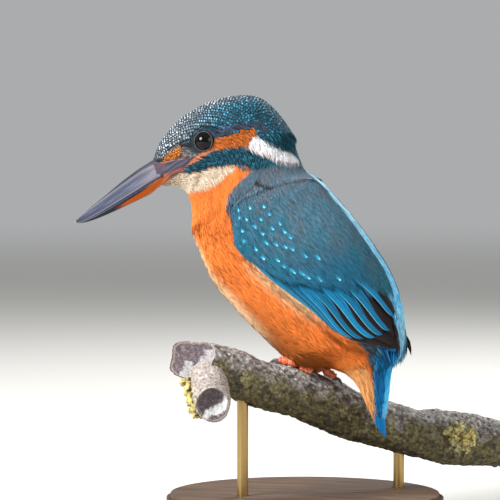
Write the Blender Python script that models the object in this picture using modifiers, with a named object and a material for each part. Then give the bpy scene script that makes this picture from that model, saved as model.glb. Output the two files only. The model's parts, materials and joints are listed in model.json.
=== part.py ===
"""A common kingfisher, life size, gripping a short cut branch on a round display stand.

Units are metres, +Z is up. The bird looks along -Y with its left side at +X, and turns its head a little to
its left. The origin is the centre of the stand's underside. The bird and its branch are modelled round the grip,
the point on top of the branch between the two feet, which is straight above the origin.
"""

import math

import bmesh
import bpy
import numpy as np
from mathutils import Matrix, Vector
from mathutils.bvhtree import BVHTree

MM = 0.001
GAP = 0.3 * MM

# Stand and grip
BASE_RADIUS = 50 * MM
BASE_THICKNESS = 9 * MM
BASE_CHAMFER = 1.5 * MM
ROD_RADIUS = 2 * MM
ROD_SOCKET = 4 * MM
ROD_PLACES = {"stand_rod_front": -22 * MM, "stand_rod_back": 40 * MM}
GRIP_HEIGHT = 52.6 * MM

# Head
HEAD_YAW = math.radians(15)
NECK_AXIS_Y = -16.8 * MM
BILL_LENGTH = 34.6 * MM
BILL_SLOPE = math.radians(31.4)
BILL_BASE_HALF_WIDTH = 4.3 * MM
CULMEN_RISE = 5.1 * MM
GONYS_DROP = 5.8 * MM
TOMIUM_DROP = 2.2 * MM
BILL_RINGS = 12
BILL_SIDES = 12
EYE_RADIUS = 4.0 * MM
EYE_INSET = 2.3 * MM
EYE_PLACE = (-37.0 * MM, 83.0 * MM)
EYE_FORWARD = math.radians(16)

# Cross-sections of the body from bill root to tail, each as (belly y, belly z, back y, back z, half width,
# share of the height at which it is widest, share of the head's turn), lengths in millimetres from the grip.
SECTIONS = {
    "bill_root": (-52.4, 67.0, -55.4, 76.4, 4.5, 0.50, 1.0),
    "lores": (-48.6, 66.8, -52.6, 83.2, 7.7, 0.46, 1.0),
    "brow": (-45.4, 65.8, -44.2, 92.4, 10.6, 0.48, 1.0),
    "crown": (-43.4, 64.0, -30.5, 98.8, 12.6, 0.50, 1.0),
    "hind_crown": (-42.2, 61.0, -16.6, 98.6, 13.6, 0.52, 0.9),
    "nape": (-41.8, 56.4, -5.9, 87.6, 14.2, 0.52, 0.65),
    "hind_neck": (-42.0, 51.2, -1.0, 73.8, 16.2, 0.48, 0.3),
    "shoulders": (-39.6, 44.0, 6.8, 65.4, 19.3, 0.47, 0.0),
    "chest": (-34.0, 31.8, 17.7, 52.9, 21.3, 0.48, 0.0),
    "belly": (-21.8, 17.6, 29.0, 36.4, 20.0, 0.50, 0.0),
    "thighs": (-7.6, 5.3, 34.9, 20.8, 15.8, 0.52, 0.0),
    "vent": (7.2, 1.8, 36.2, 9.8, 11.8, 0.53, 0.0),
    "tail_root": (17.0, -3.6, 32.8, 0.8, 9.0, 0.52, 0.0),
    "tail_coverts": (22.6, -13.0, 31.0, -11.4, 6.2, 0.50, 0.0),
    "coverts_tip": (27.0, -21.8, 28.6, -21.4, 2.0, 0.50, 0.0),
}
STEPS_BETWEEN = 2
POINTS_ROUND = 24

# Cuts through the body, as places along SECTIONS
HEAD_CUT = 5.55
NECK_CUT = 6.75
TAIL_CUT = 11.6

# Tail
TAIL_TOP = (27.0 * MM, 2.0 * MM)
TAIL_TIP = (29.4 * MM, -24.8 * MM)
TAIL_HALF_WIDTHS = (4.6 * MM, 6.6 * MM)
TAIL_THICKNESS = 1.6 * MM
TAIL_ROOF = 1.2 * MM

# Folded wing: its leading and dorsal edges from shoulder to tip, as (place along SECTIONS, degrees round from
# the belly), and its feather groups, as (start, end) along the wing and (low, high) across it, all as shares
WING_LEAD = ((6.0, 86), (6.45, 79), (7.5, 76), (8.4, 81), (9.2, 90), (10.2, 101), (11.05, 140))
WING_DORSAL = ((6.3, 156), (6.9, 156), (7.7, 157), (8.5, 158), (9.3, 159), (10.2, 157), (11.1, 152))
WING_GROUPS = {
    "coverts": ((0.0, 0.58), (0.0, 0.62), "wing_feathers"),
    "scapulars": ((0.0, 0.78), (0.62, 1.0), "wing_feathers"),
    "secondaries": ((0.58, 0.9), (0.0, 0.62), "flight_feathers"),
    "tertials": ((0.78, 0.9), (0.62, 1.0), "flight_feathers"),
    "primaries": ((0.9, 1.0), (0.0, 1.0), "flight_feathers"),
}
SHOULDER_BULGE = 0.35
WING_LENGTH = 78 * MM
WING_WIDTH = 26 * MM
WING_THICKNESS = 1.5 * MM
WING_LIFT = 0.35 * MM

# Branch: its centre line runs across under the bird from end to end in even steps, as (up, aside, radius) in
# millimetres from the grip
BRANCH_YAW = math.radians(40)
BRANCH_ENDS = (-44.5 * MM, 82 * MM)
BRANCH_LINE = (
    (5.7, 0.0, 7.3),
    (0.6, 0.4, 8.3),
    (-4.5, 0.0, 8.8),
    (-8.0, -0.5, 8.7),
    (-13.0, -0.7, 9.1),
    (-18.4, 0.1, 8.8),
    (-22.4, 0.8, 9.2),
    (-25.4, 0.9, 9.8),
    (-27.8, 0.4, 9.3),
    (-30.6, 0.0, 8.4),
)
BRANCH_RINGS = 28
BRANCH_SIDES = 18
CUT_SLANT = math.radians(38)
STUB_START = -37.5 * MM
STUB_LENGTH = 19.5 * MM
STUB_HEADING = math.radians(19.5)
STUB_DIP = math.radians(40)
STUB_RADII = (7.6 * MM, 6.0 * MM)
STUB_SLANT = math.radians(25)

# Feet: place of each foot along and round the branch, and the toes as (heading, length)
FEET = {"left": (-5.6 * MM, math.radians(10)), "right": (3.6 * MM, math.radians(2))}
TOE_SPREADS = {"inner": (24, 5.4), "middle": (4, 7.3), "outer": (-11, 6.9), "hind": (180, 4.8)}
TOE_RADIUS = 1.2 * MM
CLAW_LENGTH = 3.1 * MM
FOOT_RISE = 3.0 * MM
LEG_RADIUS = 1.5 * MM
LEG_LENGTH = 6.5 * MM

COLOURS = {
    "crown_feathers": ((0.02, 0.14, 0.20, 1), 0.6),
    "back_feathers": ((0.0, 0.30, 0.62, 1), 0.5),
    "breast_feathers": ((0.75, 0.25, 0.04, 1), 0.8),
    "wing_feathers": ((0.03, 0.17, 0.24, 1), 0.6),
    "flight_feathers": ((0.0, 0.20, 0.45, 1), 0.5),
    "bill_black": ((0.03, 0.03, 0.04, 1), 0.3),
    "bill_orange": ((0.62, 0.14, 0.02, 1), 0.35),
    "eye": ((0.01, 0.008, 0.006, 1), 0.05),
    "foot_red": ((0.72, 0.10, 0.03, 1), 0.5),
    "claw": ((0.05, 0.04, 0.04, 1), 0.35),
    "bark": ((0.20, 0.18, 0.14, 1), 0.9),
    "stand_wood": ((0.06, 0.045, 0.035, 1), 0.4),
    "stand_metal": ((0.35, 0.30, 0.20, 1), 0.35),
}


def clear_scene():
    for obj in list(bpy.data.objects):
        bpy.data.objects.remove(obj)


def collection(name):
    made = bpy.data.collections.new(name)
    bpy.context.scene.collection.children.link(made)
    return made


def material(name):
    if name in bpy.data.materials:
        return bpy.data.materials[name]
    colour, roughness = COLOURS[name]
    made = bpy.data.materials.new(name)
    made.use_nodes = True
    shader = made.node_tree.nodes["Principled BSDF"]
    shader.inputs["Base Color"].default_value = colour
    shader.inputs["Roughness"].default_value = roughness
    shader.inputs["Metallic"].default_value = 1.0 if name == "stand_metal" else 0.0
    return made


def empty(name, parent=None, location=(0, 0, 0), yaw=0.0):
    made = bpy.data.objects.new(name, None)
    PARTS.objects.link(made)
    made.parent = parent
    made.location = location
    made.rotation_euler = (0, 0, yaw)
    return made


def add(name, mesh, slot, parent=None):
    """A named object of the model, in its material, smooth shaded with its hard edges kept."""
    made = bpy.data.objects.new(name, mesh)
    PARTS.objects.link(made)
    made.parent = parent
    mesh.materials.clear()
    mesh.materials.append(material(slot))
    mesh.shade_smooth()
    mesh.set_sharp_from_angle(angle=math.radians(40))
    return made


def helper(name, mesh, parent=None):
    """A cutter, which isn't part of the model."""
    made = bpy.data.objects.new(name, mesh)
    HELPERS.objects.link(made)
    made.parent = parent
    made.hide_render = True
    made.display_type = "WIRE"
    return made


def smooth_line(knots, places):
    """Catmull-Rom values at places (0 to len(knots) - 1) of rows of numbers."""
    rows = np.array(knots, float)
    rows = np.vstack([2 * rows[0] - rows[1], rows, 2 * rows[-1] - rows[-2]])
    made = []
    for place in places:
        i = min(int(place), len(rows) - 4)
        t = place - i
        a, b, c, d = rows[i : i + 4]
        made.append(
            0.5 * (2 * b + (c - a) * t + (2 * a - 5 * b + 4 * c - d) * t**2 + (3 * (b - c) + d - a) * t**3)
        )
    return np.array(made)


def loft(name, rings):
    """A closed tube through rings of equally many points, with a fan of triangles over each end."""
    made = bmesh.new()
    rows = [[made.verts.new(point) for point in ring] for ring in rings]
    for low, high in zip(rows, rows[1:]):
        for i in range(len(low)):
            j = (i + 1) % len(low)
            made.faces.new((low[i], low[j], high[j], high[i]))
    for row in (rows[0], rows[-1]):
        centre = made.verts.new(sum((v.co for v in row), Vector()) / len(row))
        for i in range(len(row)):
            made.faces.new((row[i], row[(i + 1) % len(row)], centre))
    bmesh.ops.recalc_face_normals(made, faces=made.faces)
    return to_mesh(name, made)


def to_mesh(name, made):
    if made.calc_volume(signed=True) < 0:
        bmesh.ops.reverse_faces(made, faces=made.faces)
    mesh = bpy.data.meshes.new(name)
    made.to_mesh(mesh)
    made.free()
    return mesh


def baked(obj):
    """The object's mesh with its modifiers applied, in its parent's frame."""
    bpy.context.view_layer.update()
    graph = bpy.context.evaluated_depsgraph_get()
    return bpy.data.meshes.new_from_object(obj.evaluated_get(graph))


def boolean(obj, other, operation="DIFFERENCE"):
    """Changes obj's mesh by other, which is then thrown away."""
    step = obj.modifiers.new(operation.lower(), "BOOLEAN")
    step.object = other
    step.operation = operation
    step.solver = "EXACT"
    mesh = baked(obj)
    obj.modifiers.clear()
    obj.data = mesh
    bpy.data.objects.remove(other)
    return obj


def swollen(mesh, distance):
    """A copy of a mesh with each point moved outwards along its normal."""
    made = bmesh.new()
    made.from_mesh(mesh)
    made.normal_update()
    for vertex in made.verts:
        vertex.co += vertex.normal * distance
    return to_mesh(mesh.name + "_swollen", made)


def kept_behind(mesh, point, normal, name):
    """What is left of a closed mesh on the side of a plane that its normal points away from, closed again."""
    made = bmesh.new()
    made.from_mesh(mesh)
    geometry = made.verts[:] + made.edges[:] + made.faces[:]
    bmesh.ops.bisect_plane(made, geom=geometry, plane_co=point, plane_no=normal, clear_outer=True)
    open_edges = [edge for edge in made.edges if len(edge.link_faces) == 1]
    bmesh.ops.holes_fill(made, edges=open_edges)
    bmesh.ops.triangulate(made, faces=[face for face in made.faces if len(face.verts) > 4])
    bmesh.ops.recalc_face_normals(made, faces=made.faces)
    return to_mesh(name, made)


def pieces_of(mesh):
    """The separate bodies of a mesh, each as its own mesh."""
    left = bmesh.new()
    left.from_mesh(mesh)
    left.verts.ensure_lookup_table()
    seen, found = set(), []
    for start in left.verts:
        if start in seen:
            continue
        group, stack = set(), [start]
        while stack:
            vertex = stack.pop()
            if vertex in group:
                continue
            group.add(vertex)
            stack += [edge.other_vert(vertex) for edge in vertex.link_edges]
        seen |= group
        found.append({vertex.index for vertex in group})
    left.free()
    made = []
    for group in found:
        part = bmesh.new()
        part.from_mesh(mesh)
        part.verts.ensure_lookup_table()
        bmesh.ops.delete(part, geom=[v for v in part.verts if v.index not in group], context="VERTS")
        made.append(to_mesh(mesh.name, part))
    return made


def section_point(row, angle):
    """A point of a cross-section, the angle counted from the belly round by the bird's left.

    A section is an egg, narrower above or below the share of its height where it is widest.
    """
    belly_y, belly_z, back_y, back_z, half_width, widest, turn = row
    height = (1 - math.cos(angle)) / 2
    share = height ** (math.log(0.5) / math.log(widest))
    side = math.copysign(2 * math.sqrt(max(0.0, share * (1 - share))), math.sin(angle))
    if abs(math.sin(angle)) < 1e-6:
        side = 0.0
    y = belly_y + (back_y - belly_y) * height
    z = belly_z + (back_z - belly_z) * height
    pivot = Vector((0, NECK_AXIS_Y, 0))
    return Matrix.Rotation(HEAD_YAW * turn, 4, "Z") @ (Vector((half_width * side, y, z)) * MM - pivot) + pivot


def section_ring(row):
    return [section_point(row, 2 * math.pi * i / POINTS_ROUND) for i in range(POINTS_ROUND)]


def body_point(place, angle):
    """A point of the body's surface at a place along SECTIONS, and the way out from it."""
    rows = list(SECTIONS.values())
    here, ahead = smooth_line(rows, [place, place + 0.02])
    point = section_point(here, angle)
    onward = section_point(ahead, angle) - point
    outward = onward.cross(section_point(here, angle + 0.02) - point).normalized()
    middle = (section_point(here, 0.0) + section_point(here, math.pi)) / 2
    return point, outward if outward.dot(point - middle) > 0 else -outward


def body_rows():
    count = len(SECTIONS)
    places = np.linspace(0, count - 1, (count - 1) * STEPS_BETWEEN + 1)
    rows = smooth_line(list(SECTIONS.values()), places)
    rows[:, 4] = np.maximum(rows[:, 4], 0.8)
    rows[:, 6] = np.clip(rows[:, 6], 0, 1)
    return rows


def cut_plane(place):
    """Point and normal, towards the tail, of the cross-section at a place along SECTIONS."""
    here, ahead = smooth_line(list(SECTIONS.values()), [place, place + 0.05])
    ring = section_ring(here)
    belly, back = ring[0], ring[POINTS_ROUND // 2]
    side = ring[POINTS_ROUND // 4] - ring[3 * POINTS_ROUND // 4]
    normal = (back - belly).cross(side).normalized()
    middle = (belly + back) / 2
    further = section_ring(ahead)
    if normal.dot((further[0] + further[POINTS_ROUND // 2]) / 2 - middle) < 0:
        normal = -normal
    return middle, normal


def body(whole, grip):
    """Head, neck, trunk and tail coverts: the whole body parted by thin cuts."""
    planes = {"head": cut_plane(HEAD_CUT), "neck": cut_plane(NECK_CUT), "tail": cut_plane(TAIL_CUT)}

    def between(name, start, end):
        mesh = whole
        if start:
            point, normal = planes[start]
            mesh = kept_behind(mesh, point + normal * GAP / 2, -normal, name)
        if end:
            point, normal = planes[end]
            mesh = kept_behind(mesh, point - normal * GAP / 2, normal, name)
        return mesh

    head = add("head", between("head", None, "head"), "crown_feathers", grip)
    add("neck", between("neck", "head", "neck"), "crown_feathers", grip)
    trunk = add("trunk", between("trunk", "neck", "tail"), "breast_feathers", grip)
    coverts = helper("tail_coverts", between("tail_coverts", "tail", None), grip)
    return head, trunk, coverts, planes["tail"]


def bill(head_frame):
    """Upper and lower mandible: each a loft along the bill's slope, meeting at the tomium."""
    outward = Vector((0, -math.cos(BILL_SLOPE), -math.sin(BILL_SLOPE)))
    upward = Vector((0, -math.sin(BILL_SLOPE), math.cos(BILL_SLOPE)))
    belly_y, belly_z, back_y, back_z = SECTIONS["bill_root"][:4]
    root = Vector((0, (belly_y + back_y) / 2, (belly_z + back_z) / 2)) * MM + outward * 2 * GAP
    tilt = math.atan2(back_y - belly_y, back_z - belly_z) + BILL_SLOPE
    for name, slot, upper in (("bill_upper", "bill_black", True), ("bill_lower", "bill_orange", False)):
        rings = []
        for step in np.linspace(0, 1, BILL_RINGS):
            share = max(1 - step**0.9, 0.004)
            half_width = BILL_BASE_HALF_WIDTH * share**0.8 * (1.0 if upper else 0.93)
            tomium = -TOMIUM_DROP * (1 - math.exp(-share / 0.13)) + (GAP / 2 if upper else -GAP / 2)
            far = CULMEN_RISE * share**0.62 if upper else -GONYS_DROP * share**0.47
            ring = []
            for angle in np.linspace(0, 2 * math.pi, BILL_SIDES, False):
                bulge = max(0.0, math.sin(angle) if upper else -math.sin(angle)) ** 1.15
                height = tomium + (far - tomium) * bulge
                slant = math.tan(tilt) * height * share**6
                place = root + outward * (BILL_LENGTH * (1 - share) - slant) + upward * height
                ring.append(place + Vector((half_width * math.cos(angle), 0, 0)))
            rings.append(ring)
        add(name, loft(name, rings), slot, head_frame)


def eyes(head, head_frame):
    """Each eyeball sits in a socket cut into the head, and shows as a cap."""
    head_tree = BVHTree.FromObject(head, bpy.context.evaluated_depsgraph_get())
    turn = head_frame.matrix_local
    for name, side in (("eye_left", 1), ("eye_right", -1)):
        outside = turn @ Vector((side * 60 * MM, *EYE_PLACE))
        surface = head_tree.ray_cast(outside, turn.to_3x3() @ Vector((-side, 0, 0)))[0]
        look = Vector((side * math.cos(EYE_FORWARD), -math.sin(EYE_FORWARD), 0.05)).normalized()
        centre = turn.inverted() @ surface - look * EYE_INSET
        for radius, make in ((EYE_RADIUS, add), (EYE_RADIUS + GAP, helper)):
            made = bmesh.new()
            bmesh.ops.create_uvsphere(made, u_segments=18, v_segments=10, radius=radius)
            made.transform(Vector((0, 0, 1)).rotation_difference(look).to_matrix().to_4x4())
            made.transform(Matrix.Translation(centre))
            mesh = to_mesh(name, made)
            if make is add:
                add(name, mesh, "eye", head_frame)
            else:
                boolean(head, helper(name + "_socket", mesh, head_frame))


def tail_blade(name, across, down, back, grow):
    """The tail feathers as one blade with a roofed back and a rounded end, or the slot that it needs."""
    top, tip = (Vector((0, y, z)) for y, z in (TAIL_TOP, TAIL_TIP))
    rings = []
    for share in np.linspace(0, 1, 9):
        half = TAIL_HALF_WIDTHS[0] + (TAIL_HALF_WIDTHS[1] - TAIL_HALF_WIDTHS[0]) * share**0.8
        half *= 0.4 + 0.6 * math.sqrt(max(0.0, 1 - max(0.0, (share - 0.86) / 0.14) ** 2))
        thick = TAIL_THICKNESS / 2 * (1 - 0.35 * share) + grow
        centre = top + (tip - top) * share
        if grow and share in (0, 1):
            centre += down * (1 * MM if share else -4 * MM)
        ring = []
        for angle in np.linspace(0, 2 * math.pi, 14, False):
            lift = thick * math.sin(angle) + TAIL_ROOF * (1 - abs(math.cos(angle)) ** 1.5)
            ring.append(centre + across * (half + grow) * math.cos(angle) + back * lift)
        rings.append(ring)
    return loft(name, rings)


def tail(grip, coverts, tail_plane):
    """The closed tail feathers, between the coverts under and over them."""
    top, tip = (Vector((0, y, z)) for y, z in (TAIL_TOP, TAIL_TIP))
    across = Vector((1, 0, 0))
    down = (tip - top).normalized()
    back = across.cross(down).normalized()
    if back.y < 0:
        back = -back
    point, normal = tail_plane
    blade = tail_blade("tail", across, down, back, 0.0)
    blade = kept_behind(blade, point + normal * GAP / 2, -normal, "tail")
    add("tail", blade, "flight_feathers", grip)

    sheet = bmesh.new()
    bmesh.ops.create_cube(sheet, size=1)
    sheet.transform(Matrix.Diagonal((40 * MM, 2 * GAP, 60 * MM, 1)))
    frame = Matrix((across, back, -down)).transposed().to_4x4()
    frame.translation = top + down * 24 * MM + back * TAIL_ROOF * 0.1
    sheet.transform(frame)
    slot = helper("tail_slot", tail_blade("tail_slot", across, down, back, GAP), grip)
    boolean(slot, helper("tail_sheet", to_mesh("tail_sheet", sheet), grip), "UNION")
    boolean(coverts, slot)
    for mesh in pieces_of(coverts.data):
        middle = sum((v.co for v in mesh.vertices), Vector()) / len(mesh.vertices)
        if (middle - top).dot(back) > 0:
            add("tail_coverts_upper", mesh, "back_feathers", grip)
        else:
            add("tail_coverts_under", mesh, "breast_feathers", grip)
    bpy.data.objects.remove(coverts)


def wing_place(along, across):
    """Place along SECTIONS and angle round them of a point of the wing, from shares along and across it."""
    lead, dorsal = (smooth_line(edge, [along * (len(edge) - 1)])[0] for edge in (WING_LEAD, WING_DORSAL))
    place, degrees = lead + (dorsal - lead) * across
    place -= SHOULDER_BULGE * math.sin(math.pi * across) * max(0.0, 1 - along / 0.3) ** 2
    return place, math.radians(degrees)


def wing_group(start, end, low, high, side):
    """The inner face of one group of wing feathers, laid just over the body."""
    ends = (start + GAP / WING_LENGTH * (start > 0), end - GAP / WING_LENGTH * (end < 1))
    edges = (low + GAP / WING_WIDTH * (low > 0), high - GAP / WING_WIDTH * (high < 1))
    made = bmesh.new()
    rows = []
    for along in np.linspace(*ends, 2 + round(15 * (end - start))):
        row = []
        for across in np.linspace(*edges, 2 + round(7 * (high - low))):
            place, angle = wing_place(along, across)
            point, outward = body_point(place, side * angle)
            row.append(made.verts.new(point + outward * (GAP + WING_LIFT)))
        rows.append(row)
    for here, ahead in zip(rows, rows[1:]):
        for i in range(len(here) - 1):
            made.faces.new((here[i], here[i + 1], ahead[i + 1], ahead[i]))
    bmesh.ops.recalc_face_normals(made, faces=made.faces)
    if sum(face.normal.x for face in made.faces) * side < 0:
        bmesh.ops.reverse_faces(made, faces=made.faces)
    mesh = bpy.data.meshes.new("wing")
    made.to_mesh(mesh)
    made.free()
    return mesh


def wings(grip):
    """Each folded wing is a shell over the body's side, parted into its feather groups."""
    for side, side_name in ((1, "left"), (-1, "right")):
        for group, ((start, end), (low, high), slot) in WING_GROUPS.items():
            wing = add(f"wing_{side_name}_{group}", wing_group(start, end, low, high, side), slot, grip)
            shell = wing.modifiers.new("thickness", "SOLIDIFY")
            shell.thickness = WING_THICKNESS
            shell.offset = 1.0


def branch_share(along):
    """Share of the branch's length at a distance along it from the grip."""
    return (along - BRANCH_ENDS[0]) / (BRANCH_ENDS[1] - BRANCH_ENDS[0])


def branch_centre(share):
    """Centre and radius of the branch at a share of its length."""
    up, aside, radius = smooth_line(BRANCH_LINE, [share * (len(BRANCH_LINE) - 1)])[0] * MM
    along = BRANCH_ENDS[0] + (BRANCH_ENDS[1] - BRANCH_ENDS[0]) * share
    turn = Matrix.Rotation(BRANCH_YAW, 3, "Z")
    return turn @ Vector((aside, along, up)), radius


def branch_point(share, angle, lift=0.0):
    """A point on the branch's surface, the angle counted from the top towards the bird's left."""
    low = min(max(share, 0.0), 0.99)
    centre, radius = branch_centre(share)
    tangent = (branch_centre(low + 0.01)[0] - branch_centre(low)[0]).normalized()
    aside = Matrix.Rotation(BRANCH_YAW, 3, "Z") @ Vector((1, 0, 0))
    up = aside.cross(tangent)
    bumps = 0.035 * math.sin(3 * angle + 9 * share) + 0.03 * math.sin(2 * angle - 14 * share + 1.1)
    bumps += 0.025 * math.sin(21 * share + angle)
    reach = radius * (1 + bumps) + lift
    slant = math.tan(CUT_SLANT) * reach * math.sin(angle) * max(0.0, 1 - share / 0.16)
    return centre + (up * math.cos(angle) + aside * math.sin(angle)) * reach + tangent * slant


def branch(grip, sockets):
    """The perch, with a short side stub near its front end, and drilled for the stand's rods."""
    rings = []
    for share in np.linspace(0, 1, BRANCH_RINGS):
        rings.append([branch_point(share, 2 * math.pi * k / BRANCH_SIDES) for k in range(BRANCH_SIDES)])
    perch = add("perch", loft("perch", rings), "bark", grip)
    stub = add("perch_stub", stub_mesh(), "bark", grip)
    boolean(stub, helper("perch_swollen", swollen(perch.data, GAP), grip))
    stub.data = max(pieces_of(stub.data), key=lambda mesh: len(mesh.vertices))
    for socket in sockets:
        boolean(perch, socket)


def stub_mesh():
    """A side branch cut off short, from inside the perch out towards the bird's left, forwards and down."""
    start = branch_centre(branch_share(STUB_START))[0]
    level = Vector((math.cos(STUB_HEADING), math.sin(STUB_HEADING), 0))
    aim = level * math.cos(STUB_DIP) - Vector((0, 0, math.sin(STUB_DIP)))
    across = Vector((0, 0, 1)).cross(level)
    up = aim.cross(across)
    rings = []
    for share in np.linspace(0, 1, 8):
        radius = STUB_RADII[0] + (STUB_RADII[1] - STUB_RADII[0]) * share
        radius += 0.5 * MM * math.exp(-(((share - 0.8) / 0.12) ** 2))
        centre = start + aim * STUB_LENGTH * share
        slant = math.tan(STUB_SLANT) * share**3
        ring = []
        for turn in np.linspace(0, 2 * math.pi, 16, False):
            lean = aim * -slant * math.sin(turn)
            ring.append(centre + (across * math.cos(turn) + up * math.sin(turn) + lean) * radius)
        rings.append(ring)
    return loft("perch_stub", rings)


def tube(name, points, radii, sides=8):
    """A mesh tube through points with a radius at each, from a poly curve with filled caps."""
    curve = bpy.data.curves.new(name, "CURVE")
    curve.dimensions = "3D"
    curve.bevel_depth = 1.0
    curve.bevel_resolution = (sides - 4) // 2
    curve.use_fill_caps = True
    spline = curve.splines.new("POLY")
    spline.points.add(len(points) - 1)
    for knot, point, radius in zip(spline.points, points, radii):
        knot.co = (*point, 1)
        knot.radius = radius
    holder = bpy.data.objects.new(name, curve)
    HELPERS.objects.link(holder)
    mesh = baked(holder)
    bpy.data.objects.remove(holder)
    made = bmesh.new()
    made.from_mesh(mesh)
    bmesh.ops.remove_doubles(made, verts=made.verts, dist=0.00001)
    bmesh.ops.recalc_face_normals(made, faces=made.faces)
    return to_mesh(name, made)


def tapered(points, radii, grow):
    """The path of a tube made thicker by grow all over, with its ends drawn out as far."""
    first = points[0] + (points[0] - points[1]).normalized() * grow
    last = points[-1] + (points[-1] - points[-2]).normalized() * grow
    return [first, *points[1:-1], last], [radius + grow for radius in radii]


def foot(side_name, grip, trunk):
    """Four toes gripping the branch as one foot, their claws, and the short leg that goes up into the belly."""
    along, around = FEET[side_name]
    mirror = 1 if side_name == "left" else -1
    radius = branch_centre(branch_share(along))[1]

    def on_branch(distance, heading, lift):
        share = branch_share(along - distance * math.cos(heading))
        return branch_point(share, around - distance * math.sin(heading) / radius, lift)

    joint = on_branch(0, 0, FOOT_RISE)
    foot_object = None
    cutters = []
    for toe, (spread, toe_length) in TOE_SPREADS.items():
        heading = BRANCH_YAW + math.radians(spread) * (mirror if toe != "hind" else 1)
        rest = TOE_RADIUS + 1.5 * GAP
        points, radii = [], []
        for share in np.linspace(0, 1, 7):
            drop = max(0.0, 1 - share / 0.4) ** 1.5
            points.append(on_branch(toe_length * MM * share, heading, rest + (FOOT_RISE - rest) * drop))
            radii.append(TOE_RADIUS * (1.12 - 0.32 * share + 0.09 * math.cos(share * 6 * math.pi)))
        mesh = tube(f"toe_{side_name}_{toe}", points, radii)
        cutters.append(tapered(points, radii, GAP))
        if foot_object is None:
            foot_object = add(f"foot_{side_name}", mesh, "foot_red", grip)
        else:
            boolean(foot_object, helper("toe", mesh, grip), "UNION")
        claw_points, claw_radii = [], []
        for share in np.linspace(0, 1, 6):
            out = toe_length * MM + 2 * GAP + CLAW_LENGTH * share
            arch = 0.9 * MM * math.sin(math.pi * min(1.0, share * 1.1)) - 0.25 * MM * share
            claw_points.append(on_branch(out, heading, 0.55 * MM + GAP + arch))
            claw_radii.append(0.85 * MM * (1 - share) ** 0.8 + 0.12 * MM)
        add(f"claw_{side_name}_{toe}", tube("claw", claw_points, claw_radii, 6), "claw", grip)
        cutters.append(tapered(claw_points, claw_radii, GAP))
    low = joint + Vector((0, 0, 1.18 * TOE_RADIUS + GAP))
    top = joint + Vector((0, 0.5 * MM, LEG_LENGTH))
    leg_points = [low + (top - low) * share for share in (0.0, 0.4, 0.8, 1.0)]
    leg_radii = [LEG_RADIUS * k for k in (0.95, 0.9, 1.1, 1.15)]
    add(f"leg_{side_name}", tube(f"leg_{side_name}", leg_points, leg_radii), "foot_red", grip)
    cutters.append(tapered(leg_points, leg_radii, GAP))
    for points, radii in cutters:
        boolean(trunk, helper("pocket", tube("pocket", points, radii), grip))


def stand():
    """The round base with its two rods, which run a little way into the base and the branch."""
    made = bmesh.new()
    bmesh.ops.create_cone(
        made, cap_ends=True, segments=56, radius1=BASE_RADIUS, radius2=BASE_RADIUS, depth=BASE_THICKNESS
    )
    bmesh.ops.translate(made, verts=made.verts, vec=(0, 0, BASE_THICKNESS / 2))
    rim = [e for e in made.edges if all(abs(v.co.z - BASE_THICKNESS) < 1e-6 for v in e.verts)]
    bmesh.ops.bevel(made, geom=rim, offset=BASE_CHAMFER, segments=2, affect="EDGES")
    base = add("stand_base", to_mesh("stand_base", made), "stand_wood")
    sockets = []
    for name, along in ROD_PLACES.items():
        under = branch_point(branch_share(along), math.pi)
        low = BASE_THICKNESS - ROD_SOCKET
        high = GRIP_HEIGHT + under.z + ROD_SOCKET
        for grow, parent in ((0.0, None), (GAP, "cutter"), (GAP, "branch")):
            rod = bmesh.new()
            radius = ROD_RADIUS + grow
            tall = high - low + 2 * grow
            bmesh.ops.create_cone(rod, cap_ends=True, segments=16, radius1=radius, radius2=radius, depth=tall)
            bmesh.ops.translate(rod, verts=rod.verts, vec=(under.x, under.y, (high + low) / 2))
            if parent is None:
                add(name, to_mesh(name, rod), "stand_metal")
            elif parent == "cutter":
                boolean(base, helper(name + "_hole", to_mesh(name, rod)))
            else:
                sockets.append(helper(name + "_socket", to_mesh(name, rod)))
    return sockets


def main():
    grip = empty("grip", location=(0, 0, GRIP_HEIGHT))
    pivot = Vector((0, NECK_AXIS_Y, 0))
    turned = Matrix.Rotation(HEAD_YAW, 3, "Z")
    head_frame = empty("head_frame", grip, pivot - turned @ pivot, HEAD_YAW)
    bpy.context.view_layer.update()
    branch(grip, stand())
    whole = loft("body", [section_ring(row) for row in body_rows()])
    head, trunk, coverts, tail_plane = body(whole, grip)
    bill(head_frame)
    eyes(head, head_frame)
    tail(grip, coverts, tail_plane)
    wings(grip)
    for side_name in FEET:
        foot(side_name, grip, trunk)


clear_scene()
PARTS = collection("kingfisher")
HELPERS = collection("cutters")
main()
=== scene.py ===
"""The looks of a life-size common kingfisher gripping a cut branch on a round display stand.

Each operator makes one piece, or one group of like pieces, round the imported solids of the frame. The feathers
are solid tufts and vanes. They grow on one skin, whose points carry the plumage's colours and the coat's lie.
"""

import json
import math
from types import SimpleNamespace

import bmesh
import bpy
import numpy as np
from bpy.props import FloatProperty, FloatVectorProperty, IntProperty, PointerProperty
from mathutils import Matrix, Vector, noise
from numpy.linalg import norm

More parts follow.
